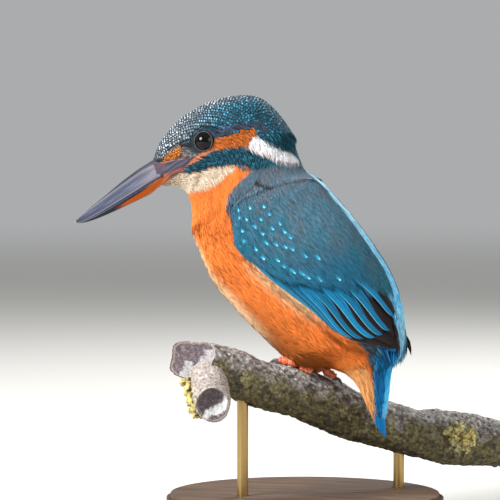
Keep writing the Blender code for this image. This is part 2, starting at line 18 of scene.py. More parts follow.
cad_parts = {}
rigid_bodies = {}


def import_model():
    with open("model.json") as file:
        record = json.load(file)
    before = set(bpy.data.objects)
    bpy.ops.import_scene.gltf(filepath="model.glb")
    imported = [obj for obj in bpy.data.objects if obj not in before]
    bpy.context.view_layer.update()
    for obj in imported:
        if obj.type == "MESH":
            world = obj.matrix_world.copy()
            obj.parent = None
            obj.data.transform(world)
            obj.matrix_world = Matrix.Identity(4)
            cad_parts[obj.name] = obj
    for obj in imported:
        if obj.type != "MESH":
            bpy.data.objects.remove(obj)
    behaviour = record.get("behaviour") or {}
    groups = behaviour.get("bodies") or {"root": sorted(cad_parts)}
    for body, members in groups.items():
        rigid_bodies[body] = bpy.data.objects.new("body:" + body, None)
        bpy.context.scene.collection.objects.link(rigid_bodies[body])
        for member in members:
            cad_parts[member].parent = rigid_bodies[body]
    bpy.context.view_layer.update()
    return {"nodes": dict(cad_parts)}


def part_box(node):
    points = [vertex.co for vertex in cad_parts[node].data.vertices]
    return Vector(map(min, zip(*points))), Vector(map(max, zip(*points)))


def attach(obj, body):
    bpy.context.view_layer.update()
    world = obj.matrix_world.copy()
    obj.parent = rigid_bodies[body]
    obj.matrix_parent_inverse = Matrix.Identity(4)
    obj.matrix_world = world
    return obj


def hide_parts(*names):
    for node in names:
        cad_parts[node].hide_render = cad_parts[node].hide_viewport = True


bl_info = {
    "name": "Museum Kingfisher",
    "version": (1, 0, 0),
    "blender": (4, 5, 0),
    "location": "3D View > Sidebar > Kingfisher",
    "description": "Makes the feathers, bill, feet, perch and stand of a life-size kingfisher",
    "category": "Object",
}

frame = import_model()
BODY = "root"
MIRROR = {"left": 1, "right": -1}

MM = 0.001
GRIP_HEIGHT = 52.6 * MM

# The body, as in the solids: cross-sections from bill root to tail, in millimetres from the grip, each as
# (belly y, belly z, back y, back z, half width, share of its height where it is widest, share of the turn)
HEAD_YAW = math.radians(15)
NECK_AXIS_Y = -16.8
SECTIONS = (
    (-52.4, 67.0, -55.4, 76.4, 4.5, 0.50, 1.0),
    (-48.6, 66.8, -52.6, 83.2, 7.7, 0.46, 1.0),
    (-45.4, 65.8, -44.2, 92.4, 10.6, 0.48, 1.0),
    (-43.4, 64.0, -30.5, 98.8, 12.6, 0.50, 1.0),
    (-42.2, 61.0, -16.6, 98.6, 13.6, 0.52, 0.9),
    (-41.8, 56.4, -5.9, 87.6, 14.2, 0.52, 0.65),
    (-42.0, 51.2, -1.0, 73.8, 16.2, 0.48, 0.3),
    (-39.6, 44.0, 6.8, 65.4, 19.3, 0.47, 0.0),
    (-34.0, 31.8, 17.7, 52.9, 21.3, 0.48, 0.0),
    (-21.8, 17.6, 29.0, 36.4, 20.0, 0.50, 0.0),
    (-7.6, 5.3, 34.9, 20.8, 15.8, 0.52, 0.0),
    (7.2, 1.8, 36.2, 9.8, 11.8, 0.53, 0.0),
    (17.0, -3.6, 32.8, 0.8, 9.0, 0.52, 0.0),
    (22.6, -13.0, 31.0, -11.4, 6.2, 0.50, 0.0),
    (27.0, -21.8, 28.6, -21.4, 2.0, 0.50, 0.0),
)
LAST_PLACE = len(SECTIONS) - 1
HEAD_AXIS = np.array([-math.sin(HEAD_YAW), math.cos(HEAD_YAW), 0.0])

# The folded wing: its leading and dorsal edges from shoulder to tip, as (place along SECTIONS, degrees from
# the belly), the height of its feathers' outer surface over the body, and its size
WING_LEAD = ((6.0, 86), (6.45, 79), (7.5, 76), (8.4, 81), (9.2, 90), (10.2, 101), (11.05, 140))
WING_DORSAL = ((6.3, 156), (6.9, 156), (7.7, 157), (8.5, 158), (9.3, 159), (10.2, 157), (11.1, 152))
SHOULDER_BULGE = 0.35
WING_LIFT = 2.15
WING_LENGTH = 78.0
WING_WIDTH = 26.0
WING_COAT = 1.0
WING_NODES = [f"wing_{side}_{group}" for side in MIRROR
              for group in ("coverts", "scapulars", "secondaries", "tertials", "primaries")]
FLESH_NODES = ["head", "neck", "trunk", "tail_coverts_upper", "tail_coverts_under", *WING_NODES]

# Markings of the head, as outlines or lines in millimetres: (distance back along the head's axis, height)
EYE_CENTRE = (-36.4, 83.1)
LORE = ((-51.3, 76.9), (-48.9, 79.4), (-46.5, 81.6), (-44.1, 81.9), (-43.0, 80.6), (-44.5, 78.5),
        (-46.2, 76.3), (-49.1, 75.0), (-51.0, 75.4))
EYE_STRIPE = ((-49.1, 74.8), (-46.0, 76.2), (-42.2, 77.7), (-39.1, 79.5), (-33.1, 80.2), (-36.5, 78.0),
              (-40.5, 75.8), (-44.0, 74.0), (-47.7, 73.2))
LORE_SPOT = ((-43.8, 81.6), (-41.3, 82.2), (-39.1, 80.8), (-36.5, 79.2), (-38.8, 77.8), (-41.9, 78.0),
             (-44.3, 79.0))
GAPE = ((-44.3, 72.6), (-41.9, 75.0), (-37.5, 77.7), (-33.1, 79.8), (-30.8, 80.2))
EAR = ((-32.7, 81.9), (-31.4, 83.8), (-28.7, 84.9), (-26.2, 86.1), (-21.8, 87.8), (-19.1, 88.2),
       (-16.7, 86.1), (-17.1, 84.2), (-19.4, 82.5), (-18.4, 80.9), (-21.1, 79.4), (-23.3, 80.1),
       (-26.8, 79.7), (-31.1, 79.8))
WHITE = ((-18.9, 83.1), (-15.8, 83.5), (-12.6, 81.8), (-9.0, 79.5), (-5.3, 77.4), (-1.6, 74.6),
         (-2.2, 73.2), (-6.4, 73.5), (-11.1, 74.4), (-13.9, 76.3), (-16.9, 77.4), (-20.1, 79.2))
MALAR = ((-42.0, 75.0), (-38.8, 76.2), (-34.9, 78.2), (-31.1, 79.9), (-28.0, 79.7), (-23.3, 80.1),
         (-19.9, 78.8), (-16.7, 77.1), (-13.1, 75.4), (-10.3, 73.3), (-8.9, 72.4), (-11.3, 71.6),
         (-15.3, 70.8), (-19.4, 71.1), (-21.7, 72.6), (-24.2, 73.2), (-27.9, 72.6), (-32.0, 72.4),
         (-37.3, 71.8), (-40.5, 71.7), (-44.2, 72.1))
THROAT = ((-56.0, 76.0), (-50.0, 73.4), (-44.2, 72.1), (-40.5, 71.7), (-37.3, 71.8), (-32.0, 72.4),
          (-27.9, 72.6), (-24.8, 72.9), (-27.1, 70.2), (-29.4, 67.7), (-31.2, 66.4), (-35.7, 64.6),
          (-38.7, 63.6), (-43.0, 62.8), (-56.0, 60.0))
# Upper limit of the orange of neck and breast, as places along SECTIONS and degrees from the belly
ORANGE_PLACES = (4.6, 4.92, 5.2, 5.44, 5.52, 5.62, 5.8, 6.04, 6.5, 7.5, 8.4, 9.2, 10.2, 10.7, 11.2, 14.0)
ORANGE_ANGLES = (84, 90, 97, 102, 90, 82, 77, 75, 77, 83, 89, 98, 107, 112, 104, 92)
# Bare horn from the bill's root to the corner of the mouth, the mouth's line and a nostril; its colours at
# the root above, at the corner of the mouth and at the root below, along the mouth's line and in the nostril
HORN = ((-58.0, 76.6), (-53.1, 75.3), (-50.8, 75.4), (-46.9, 76.6), (-42.9, 77.0), (-40.7, 76.2),
        (-41.5, 75.2), (-44.4, 72.6), (-45.7, 71.0), (-48.6, 68.9), (-53.1, 65.6), (-57.0, 66.0))
MOUTH_LINE = ((-55.0, 69.3), (-49.0, 71.6), (-44.4, 73.4))
NOSTRIL = ((-54.6, 73.4), (-50.6, 74.3))
BILL_BASE = ((0.048, 0.043, 0.066), (0.11, 0.042, 0.040), (0.42, 0.105, 0.018))
MOUTH_RED = (0.26, 0.065, 0.045)
NOSTRIL_DARK = (0.13, 0.030, 0.030)
# Dark corner of the eye, indigo line along the crown's side, and the lower limit of crown and nape
EYE_CORNER = ((-43.6, 82.6), (-39.0, 83.0))
INDIGO = ((-33.0, 85.5), (-31.0, 86.5), (-27.2, 88.2), (-21.6, 90.0), (-17.8, 90.3), (-15.7, 88.4))
NAPE_LINE = ((-30.0, -20.0, -12.0, -2.0, 2.0), (84.0, 82.0, 80.0, 74.2, 72.0))
# Where the head's plumage ends, as degrees from the belly and places along SECTIONS
HEAD_ANGLES = (80, 90, 102, 116, 128, 148)
HEAD_PLACES = (4.9, 5.1, 5.35, 5.7, 5.88, 6.05)
# Radii round the eye, in millimetres: bare, dark ring, and small tufts
EYE_BARE, EYE_RING, EYE_TUFTS = 3.85, 4.6, 5.4
# Where the roots of the wing's small feathers end, as shares across and along it; and their bright spots
COVERT_ACROSS = (-0.05, 0.03, 0.08, 0.12, 0.2, 0.4, 0.6, 0.8, 1.0)
COVERT_ALONG = (0.35, 0.40, 0.46, 0.51, 0.56, 0.60, 0.62, 0.64, 0.66)
SPOTS = ((0.18, 0.13), (0.20, 0.25), (0.22, 0.38), (0.23, 0.12), (0.25, 0.18), (0.27, 0.30), (0.26, 0.39),
         (0.29, 0.10), (0.29, 0.22), (0.32, 0.35), (0.31, 0.43), (0.33, 0.07), (0.33, 0.25), (0.35, 0.42),
         (0.38, 0.12), (0.37, 0.23), (0.38, 0.43), (0.39, 0.29), (0.41, 0.34), (0.42, 0.12), (0.45, 0.20),
         (0.43, 0.37), (0.47, 0.42), (0.49, 0.50), (0.48, 0.20), (0.51, 0.23), (0.53, 0.28), (0.55, 0.29),
         (0.57, 0.36), (0.59, 0.51))
# Painted shade in a slit at the shoulder of the left wing, as a line of (millimetres along, millimetres across)
# the wing
SHOULDER_SLIT_SHADE = ((0.5, 8.0), (4.5, 10.2), (8.0, 13.5))
# Flight feathers of the left wing, outermost first: root and tip as (along, across), half widths of the outer
# and inner web in millimetres, and lift of the whole feather
FLIGHT_FEATHERS = (
    ((0.46, 0.06), (0.985, 0.70), 1.2, 2.4, -0.95),
    ((0.46, 0.10), (0.945, 0.58), 1.3, 2.6, -0.80),
    ((0.27, 0.07), (0.460, 0.030), 0.7, 1.8, -0.45),
    ((0.27, 0.09), (0.530, 0.040), 0.7, 2.0, -0.45),
    ((0.26, 0.05), (0.600, 0.045), 0.8, 2.2, -0.55),
    ((0.29, 0.07), (0.680, 0.050), 0.8, 2.2, -0.48),
    ((0.33, 0.09), (0.740, 0.060), 0.8, 2.2, -0.42),
    ((0.37, 0.12), (0.785, 0.075), 0.9, 2.4, -0.36),
    ((0.41, 0.16), (0.810, 0.105), 1.0, 2.6, -0.30),
    ((0.44, 0.22), (0.825, 0.140), 1.3, 3.0, -0.22),
    ((0.46, 0.29), (0.845, 0.240), 1.6, 3.4, -0.14),
    ((0.48, 0.36), (0.860, 0.400), 1.9, 3.6, -0.06),
    ((0.49, 0.44), (0.860, 0.570), 2.0, 3.6, 0.02),
    ((0.50, 0.52), (0.850, 0.750), 2.0, 3.4, 0.10),
    ((0.50, 0.62), (0.790, 0.950), 1.9, 3.0, 0.18),
)
# Half width in degrees of the bright stripe down the back, at places along SECTIONS
STRIPE_PLACES = (6.0, 6.5, 7.5, 8.5, 9.5, 10.2, 10.7, 11.2, 14.0)
STRIPE_ANGLES = (3, 5, 8, 11, 14, 20, 36, 62, 88)
# Tips of the feathers down the middle of breast and belly
BREAST_PALE = np.array((0.90, 0.63, 0.37))


# --- Settings ---


def colour_prop(name, description, default):
    return FloatVectorProperty(name=name, description=description, default=default, subtype="COLOR", size=3,
                               min=0.0, max=1.0)


def length_prop(name, description, default):
    return FloatProperty(name=name, description=description, default=default, unit="LENGTH", min=0.0)


def angle_prop(name, description, default):
    return FloatProperty(name=name, description=description, default=default, subtype="ANGLE")


class PlumageSettings(bpy.types.PropertyGroup):
    orange: colour_prop("Orange", "Breast, belly and ear coverts", (0.68, 0.178, 0.032))
    deep_orange: colour_prop("Deep Orange", "Shaded orange of the flanks and vent", (0.5, 0.12, 0.018))
    pale_orange: colour_prop("Pale Orange", "Tips of the flank and breast feathers", (0.86, 0.44, 0.18))
    cream: colour_prop("Cream", "Chin and throat", (0.59, 0.48, 0.36))
    white: colour_prop("White", "Neck patch", (0.82, 0.82, 0.84))
    ground: colour_prop("Crown Ground", "Dark ground of crown and nape", (0.01, 0.036, 0.055))
    brow: colour_prop("Forehead Ground", "Grey ground of the forehead", (0.04, 0.05, 0.06))
    pale_bar: colour_prop("Forehead Bars", "Pale bars of the forehead", (0.52, 0.59, 0.66))
    blue_bar: colour_prop("Crown Bars", "Turquoise bars of the crown", (0.06, 0.37, 0.56))
    teal: colour_prop("Teal", "Cheek band and nape", (0.018, 0.13, 0.19))
    dusky: colour_prop("Dusky", "Grey of mantle and coverts", (0.105, 0.125, 0.155))
    mantle_teal: colour_prop("Mantle Teal", "Teal of mantle and scapulars", (0.03, 0.165, 0.24))
    azure: colour_prop("Azure", "Back stripe, rump and covert spots", (0.03, 0.42, 0.75))
    pale_azure: colour_prop("Pale Azure", "Lit tips of the back stripe", (0.52, 0.84, 0.96))
    cerulean: colour_prop("Cerulean", "Outer webs of the flight feathers", (0.005, 0.145, 0.29))
    umber: colour_prop("Umber", "Inner webs and tips of the flight feathers", (0.02, 0.013, 0.012))
    tail_blue: colour_prop("Tail Blue", "Upper side of the tail", (0.004, 0.155, 0.41))
    seed: IntProperty(name="Seed", description="Seed of every random spread of tufts", default=11, min=0)
    patch: FloatProperty(name="Bake Patch", description="Side of a tuft's patch on the map", default=0.003)


class HornSettings(bpy.types.PropertyGroup):
    slate: colour_prop("Slate", "Upper bill", (0.016, 0.018, 0.031))
    bill_orange: colour_prop("Bill Orange", "Lower bill", (0.5, 0.115, 0.01))
    iris: colour_prop("Iris", "Iris of the eye", (0.0022, 0.0016, 0.0015))
    coral: colour_prop("Coral", "Scales of toes and legs", (0.78, 0.14, 0.055))
    claw: colour_prop("Claw", "Horn of the claws", (0.03, 0.022, 0.02))
    bill_length: length_prop("Bill Length", "From its root to its tip", 34.6 * MM)
    eye_radius: length_prop("Eye Radius", "Radius of the eyeball", 4.0 * MM)


class PerchSettings(bpy.types.PropertyGroup):
    bark: colour_prop("Bark", "Weathered grey bark", (0.23, 0.205, 0.19))
    crevice: colour_prop("Crevice", "Furrows and dark patches of the bark", (0.03, 0.024, 0.018))
    moss: colour_prop("Moss", "Olive film under the branch", (0.135, 0.112, 0.046))
    lichen: colour_prop("Lichen", "Yellow-green lichen", (0.42, 0.38, 0.19))
    cut_wood: colour_prop("Cut Wood", "Weathered end grain", (0.145, 0.11, 0.12))
    furrow: length_prop("Furrow Depth", "Depth of the bark's furrows", 0.7 * MM)
    wood: colour_prop("Wood", "Stained wood of the stand's base", (0.06, 0.036, 0.022))
    brass: colour_prop("Brass", "Metal of the stand's rods", (0.42, 0.28, 0.11))


class StudioSettings(bpy.types.PropertyGroup):
    floor: colour_prop("Floor", "Plain pale floor", (0.62, 0.61, 0.58))
    sky: colour_prop("Surround", "Soft light from all round", (0.74, 0.75, 0.76))
    distance: length_prop("Camera Distance", "From the camera to the bird", 1.0)
    azimuth: angle_prop("Azimuth", "Side that the camera is on", math.radians(105))
    elevation: angle_prop("Elevation", "Height of the camera", math.radians(2))


def palette(group):
    """The settings of a group, with its colours as arrays to reckon with."""
    settings = getattr(bpy.context.scene, f"kingfisher_{group}")
    values = {name: getattr(settings, name) for name in settings.__annotations__}
    arrays = {name: np.array(value) for name, value in values.items() if hasattr(value, "__len__")}
    return SimpleNamespace(**(values | arrays))


# --- Node trees ---


def operation(name, turned=False):
    """A method that adds a maths node; turned is the reflected form, with the value last."""

    def method(self, *others):
        operands = (*others, self) if turned else (self, *others)
        return self.graph.node("ShaderNodeMath", {"operation": name}, dict(enumerate(operands)))

    return method


class Value:
    """An output of a node, which takes part in sums as a number does."""

    __add__, __radd__ = operation("ADD"), operation("ADD", turned=True)
    __sub__, __rsub__ = operation("SUBTRACT"), operation("SUBTRACT", turned=True)
    __mul__, __rmul__ = operation("MULTIPLY"), operation("MULTIPLY", turned=True)
    __truediv__ = operation("DIVIDE")
    __pow__ = operation("POWER")
    __abs__ = operation("ABSOLUTE")
    sine = operation("SINE")
    most = operation("MAXIMUM")

    def __init__(self, graph, socket):
        self.graph = graph
        self.socket = socket

    def output(self, name):
        """Another output of the same node."""
        return Value(self.graph, self.graph.find(self.socket.node.outputs, name))

    def ramp(self, low, high, start=0.0, end=1.0):
        """Start below low, end above high, and smooth in between."""
        settings = {"interpolation_type": "SMOOTHSTEP"}
        ends = {"Value": self, "From Min": low, "From Max": high, "To Min": start, "To Max": end}
        return self.graph.node("ShaderNodeMapRange", settings, ends)


class Graph:
    """Builds a node tree from Python expressions."""

    def __init__(self, tree):
        self.tree = tree

    @staticmethod
    def find(sockets, name):
        if isinstance(name, int):
            return sockets[name]
        shown = [socket for socket in sockets if socket.enabled]
        return next(socket for socket in shown if name in (socket.name, socket.identifier))

    def node(self, kind, settings=None, inputs=None, output=None):
        """Adds a node: its settings, then the values or links of its sockets. Returns one of its outputs."""
        made = self.tree.nodes.new(kind)
        for name, value in (settings or {}).items():
            setattr(made, name, value)
        for name, value in (inputs or {}).items():
            socket = self.find(made.inputs, name)
            if isinstance(value, Value):
                self.tree.links.new(value.socket, socket)
            else:
                socket.default_value = (*value, 1.0) if socket.type == "RGBA" else value
        if output is not None:
            return Value(self, self.find(made.outputs, output))
        return Value(self, next((socket for socket in made.outputs if socket.enabled), None))

    def vector(self, operation, *values, output=None):
        return self.node("ShaderNodeVectorMath", {"operation": operation}, dict(enumerate(values)), output)

    def scaled(self, vector, factor):
        return self.node("ShaderNodeVectorMath", {"operation": "SCALE"}, {"Vector": vector, "Scale": factor})

    def combine(self, x, y, z):
        return self.node("ShaderNodeCombineXYZ", None, {"X": x, "Y": y, "Z": z})

    def split(self, vector):
        """The three numbers of a vector."""
        x = self.node("ShaderNodeSeparateXYZ", None, {"Vector": vector}, "X")
        return x, x.output("Y"), x.output("Z")

    def mix(self, factor, first, second, blend="MIX"):
        """A colour between two, or blended from them."""
        settings = {"data_type": "RGBA", "blend_type": blend}
        return self.node("ShaderNodeMix", settings, {"Factor": factor, "A": first, "B": second})

    def shaded(self, colour, value):
        """A colour made darker or brighter by a number."""
        grey = self.node("ShaderNodeCombineColor", None, {"Red": value, "Green": value, "Blue": value})
        return self.mix(1.0, colour, grey, "MULTIPLY")

    def noise(self, vector, scale, detail=3.0, roughness=0.5):
        inputs = {"Vector": vector, "Scale": scale, "Detail": detail, "Roughness": roughness}
        return self.node("ShaderNodeTexNoise", None, inputs, "Fac")

    def attribute(self, name, output="Fac"):
        return self.node("ShaderNodeAttribute", {"attribute_name": name}, None, output)

    def colour(self, name):
        return self.attribute(name, "Color")

    def marks(self, name):
        """The three numbers of a vector attribute."""
        return self.split(self.attribute(name, "Vector"))

    def place(self):
        """Object coordinates in metres."""
        return self.node("ShaderNodeTexCoord", None, None, "Object")


def surface_material(name, build, *given):
    """The material of a name, made once. Its Principled sockets are what build(graph, *given) returns."""
    if name in bpy.data.materials:
        return bpy.data.materials[name]
    made = bpy.data.materials.new(name)
    made.use_nodes = True
    made.node_tree.nodes.clear()
    graph = Graph(made.node_tree)
    sockets = build(graph, *given)
    if "height" in sockets:
        strength, distance, value = sockets.pop("height")
        bump = {"Strength": strength, "Distance": distance, "Height": value}
        sockets["Normal"] = graph.node("ShaderNodeBump", None, bump)
    shader = graph.node("ShaderNodeBsdfPrincipled", None, sockets, "BSDF")
    graph.node("ShaderNodeOutputMaterial", {"target": "ALL"}, {"Surface": shader})
    return made


# --- Meshes ---


def new_object(name, data):
    made = bpy.data.objects.new(name, data)
    bpy.context.scene.collection.objects.link(made)
    return made


def mesh_from(name, points, faces, smooth=True):
    mesh = bpy.data.meshes.new(name)
    mesh.from_pydata([tuple(point) for point in points], [], faces)
    mesh.validate()
    if smooth:
        mesh.shade_smooth()
    mesh.update()
    return mesh


def band(rows, columns, closed=True):
    """Quads between rows of points, which close on themselves or not."""
    faces = []
    for low in range(0, (rows - 1) * columns, columns):
        for column in range(columns if closed else columns - 1):
            ahead = (column + 1) % columns
            faces.append((low + column, low + ahead, low + columns + ahead, low + columns + column))
    return faces


def tube_faces(rows, sides):
    """Faces of a tube of rings whose ends close on two further points."""
    faces = band(rows, sides)
    first, start = rows * sides, (rows - 1) * sides
    for side in range(sides):
        ahead = (side + 1) % sides
        faces += [(first, ahead, side), (first + 1, start + side, start + ahead)]
    return faces


def round_angles(count):
    """Evenly spaced angles once round."""
    return np.linspace(0, 2 * math.pi, count, False)


def closed_loft(name, rings, smooth=True):
    """A closed tube through rings of equally many points, each end drawn to its middle."""
    rings = np.asarray(rings)
    count, sides = rings.shape[:2]
    points = [*rings.reshape(-1, 3), rings[0].mean(0), rings[-1].mean(0)]
    return outward(mesh_from(name, points, tube_faces(count, sides), smooth))


def outward(mesh):
    """Turns a closed mesh's faces outwards, after its doubles are merged."""
    made = bmesh.new()
    made.from_mesh(mesh)
    bmesh.ops.remove_doubles(made, verts=made.verts, dist=1e-7)
    bmesh.ops.recalc_face_normals(made, faces=made.faces)
    if made.calc_volume(signed=True) < 0:
        bmesh.ops.reverse_faces(made, faces=made.faces)
    made.to_mesh(mesh)
    made.free()
    return mesh


def put(mesh, name, values, colour=False):
    """Stores a number, a vector or a colour for each point."""
    values = np.asarray(values, np.float32)
    kind, field = ("FLOAT", "value") if values.ndim == 1 else ("FLOAT_VECTOR", "vector")
    if colour:
        kind, field = "FLOAT_COLOR", "color"
        values = np.hstack([np.clip(values, 0, 1), np.ones((len(values), 1), np.float32)])
    mesh.attributes.new(name, kind, "POINT").data.foreach_set(field, values.ravel())


def bake(obj):
    """Replaces an object's mesh by the result of its modifiers, which are then removed."""
    bpy.context.view_layer.update()
    graph = bpy.context.evaluated_depsgraph_get()
    mesh = bpy.data.meshes.new_from_object(obj.evaluated_get(graph))
    mesh.name = obj.name
    obj.modifiers.clear()
    obj.data = mesh


def settle(piece, slot, material=None, *nodes):
    """The piece takes its material, moves with the bird and stands for its CAD nodes; the slot is not used."""
    if material:
        piece.data.materials.clear()
        piece.data.materials.append(material)
    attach(piece, BODY)
    if nodes:
        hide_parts(*nodes)


# --- The body's surface ---


def smooth_line(knots, places):
    """Catmull-Rom values at places (0 to len(knots) - 1) of rows of numbers."""
    rows = np.array(knots, float)
    rows = np.vstack([2 * rows[0] - rows[1], rows, 2 * rows[-1] - rows[-2]])
    places = np.asarray(places, float)
    first = np.clip(np.floor(places).astype(int), 0, len(rows) - 4)
    t = (places - first)[..., None]
    a, b, c, d = (rows[first + k] for k in range(4))
    return 0.5 * (2 * b + (c - a) * t + (2 * a - 5 * b + 4 * c - d) * t**2 + (3 * (b - c) + d - a) * t**3)


def section_points(place, angle):
    """Points of the body's cross-sections, the angle counted from the belly round by the bird's left."""
    rows = smooth_line(SECTIONS, place)
    belly_y, belly_z, back_y, back_z, half_width, widest, turn = np.moveaxis(rows, -1, 0)
    height = (1 - np.cos(angle)) / 2
    share = height ** (math.log(0.5) / np.log(widest))
    side = 2 * np.sqrt(np.clip(share * (1 - share), 0, None)) * np.sign(np.sin(angle))
    x = np.maximum(half_width, 0.8) * side
    y = belly_y + (back_y - belly_y) * height
    return about_neck(x, y, belly_z + (back_z - belly_z) * height, HEAD_YAW * np.clip(turn, 0, 1))


def about_neck(x, y, z, yaw):
    """Points turned by a yaw about the neck's axis."""
    y = y - NECK_AXIS_Y
    sine, cosine = np.sin(yaw), np.cos(yaw)
    return stacked(x * cosine - y * sine, x * sine + y * cosine + NECK_AXIS_Y, z)


def blend(first, second, share):
    """From the first to the second by a share, or by each point's share."""
    first, share = np.asarray(first), np.reshape(share, (-1, 1))
    return first + (np.asarray(second) - first) * share


def stacked(*columns):
    """Rows of numbers from one array or number for each column."""
    return np.stack(np.broadcast_arrays(*columns), -1)


def unit(vectors):
    return vectors / np.maximum(norm(vectors, axis=-1, keepdims=True), 1e-9)


def body_surface(place, angle, lift=0.0):
    """Points on the body in millimetres from the grip, lifted off it, and the ways outwards and backwards."""
    place, angle = np.broadcast_arrays(np.asarray(place, float), np.asarray(angle, float))
    step = 0.01
    point = section_points(place, angle)
    onward = section_points(place + step, angle) - section_points(place - step, angle)
    around = section_points(place, angle + step) - section_points(place, angle - step)
    out = unit(np.cross(onward, around))
    return point + out * np.asarray(lift, float)[..., None], out, unit(onward)


def world(points):
    """Metres in the row's frame, from millimetres round the grip."""
    return np.asarray(points) * MM + np.array([0, 0, GRIP_HEIGHT])


def wing_edges(along):
    """Leading and dorsal edges of the wing at shares along it, as places along SECTIONS and degrees."""
    return [smooth_line(edge, along * (len(edge) - 1)) for edge in (WING_LEAD, WING_DORSAL)]


def wing_chart(along, across):
    """Place and angle on the body of a point of the left wing, from shares along and across it."""
    lead, dorsal = wing_edges(along)
    chart = lead + (dorsal - lead) * across[..., None]
    bulge = SHOULDER_BULGE * np.sin(math.pi * np.clip(across, 0, 1)) * np.clip(1 - along / 0.3, 0, None) ** 2
    return chart[..., 0] - bulge, np.radians(chart[..., 1])


def wing_shares(place, angle):
    """Shares along and across the wing of points of the body: the inverse of wing_chart."""
    along = np.full(np.shape(place), 0.5)
    for _ in range(9):
        lead, dorsal = (edge[..., 1] for edge in wing_edges(along))
        across = np.clip((np.degrees(angle) - lead) / np.maximum(dorsal - lead, 4.0), -1, 2)
        along = np.clip(along + (place - wing_chart(along, across)[0]) / 5.2, -0.3, 1.3)
    return along, across


def wing_inset(along, across):
    """Millimetres inside the outline of the folded wing, whose front lower corner is round."""
    a = along * WING_LENGTH - 1.0 + 3.0 * step_up(across, 0.25, 0.45)
    c = across * WING_WIDTH - 2.2 * step_up(0.36 - along, 0.0, 0.16)
    corner = 7.0 - np.hypot(np.clip(7.0 - a, 0, None), np.clip(7.0 - c, 0, None))
    return np.minimum(corner, (1 - along) * WING_LENGTH)


def wing_roll(along, across, low, high):
    """0 off the wing and 1 on it, softly over its front and quickly over its lower edge."""
    return step_up(wing_inset(along, across), low, high) * step_up(along * WING_LENGTH, -3.0, 7.0)


def wing_surface(along, across, lift, side=1):
    """Points over a folded wing, lifted off the outer surface of its feathers, and the way out."""
    place, angle = wing_chart(np.asarray(along, float), np.asarray(across, float))
    point, out, _ = body_surface(place, angle, WING_LIFT + np.asarray(lift, float))
    mirror = np.array([side, 1, 1])
    return point * mirror, out * mirror


def step_up(value, low, high):
    """0 below low, 1 above high, and smooth in between."""
    share = np.clip((value - low) / (high - low), 0, 1)
    return share * share * (3 - 2 * share)


def depth_inside(outline, across, height):
    """How far points lie inside a closed outline; outside is negative."""
    corners = np.array(outline, float)
    nearest = np.full(across.shape, 1e9)
    inside = np.zeros(across.shape, bool)
    for (x0, y0), (x1, y1) in zip(corners, np.roll(corners, -1, 0)):
        nearest = np.minimum(nearest, distance_to(x0, y0, x1, y1, across, height))
        crosses = (y0 > height) != (y1 > height)
        at = x0 + (height - y0) / np.where(y1 == y0, 1e-9, y1 - y0) * (x1 - x0)
        inside ^= crosses & (across < at)
    return np.where(inside, nearest, -nearest)


def distance_to(x0, y0, x1, y1, across, height):
    """Distance of points from one straight stretch."""
    dx, dy = x1 - x0, y1 - y0
    share = np.clip(((across - x0) * dx + (height - y0) * dy) / (dx * dx + dy * dy), 0, 1)
    return np.hypot(across - x0 - share * dx, height - y0 - share * dy)


def distance_from_line(line, across, height):
    return np.min([distance_to(*start, *end, across, height) for start, end in zip(line, line[1:])], axis=0)


def ripple(points, size, seed):
    """A smooth random field between about -1 and 1 that changes over a size in millimetres."""
    rng = np.random.default_rng(seed)
    total = 0.0
    for _ in range(7):
        wave = points @ unit(rng.normal(size=3)) * 2 * math.pi / size
        total = total + np.sin(wave * rng.uniform(0.5, 1.5) + rng.uniform(0, 6.3))
    return total / 3.0


# --- Plumage ---

# Coats that grow on the skin: (spacing of tufts in millimetres, pattern, sway, slot)
COATS = {
    "face": (0.29, "mottled", 0.16, "crown_feathers"),
    "crown": (0.33, "mottled", 0.16, "crown_feathers"),
    "nape": (0.34, "mottled", 0.2, "crown_feathers"),
    **{f"breast_{side}": (0.33, "graded", 0.13, "breast_feathers") for side in MIRROR},
    **{f"mantle_{side}": (0.34, "mottled", 0.14, "wing_feathers") for side in MIRROR},
    "back": (0.4, "graded", 0.14, "back_feathers"),
    "undertail": (0.45, "graded", 0.16, "breast_feathers"),
}


class Plumage:
    """What grows at each point of the skin: two colours, and the length, width and rise of its tufts."""

    def __init__(self, count):
        self.tint, self.tip, self.size = np.zeros((3, count, 3))
        self.coat = np.full(count, "", dtype="U16")
        self.growth = np.ones(count)
        self.horn = np.zeros(count)

    def lay(self, mask, tint, tip, size=None, coat=None):
        """Lays a marking over what is there, as far as its mask (0 to 1) says."""
        self.tint = blend(self.tint, tint, mask)
        self.tip = blend(self.tip, tip, mask)
        if size is not None:
            self.size = blend(self.size, size, mask)
        if coat is not None:
            self.coat = np.where(mask > 0.5, coat, self.coat)


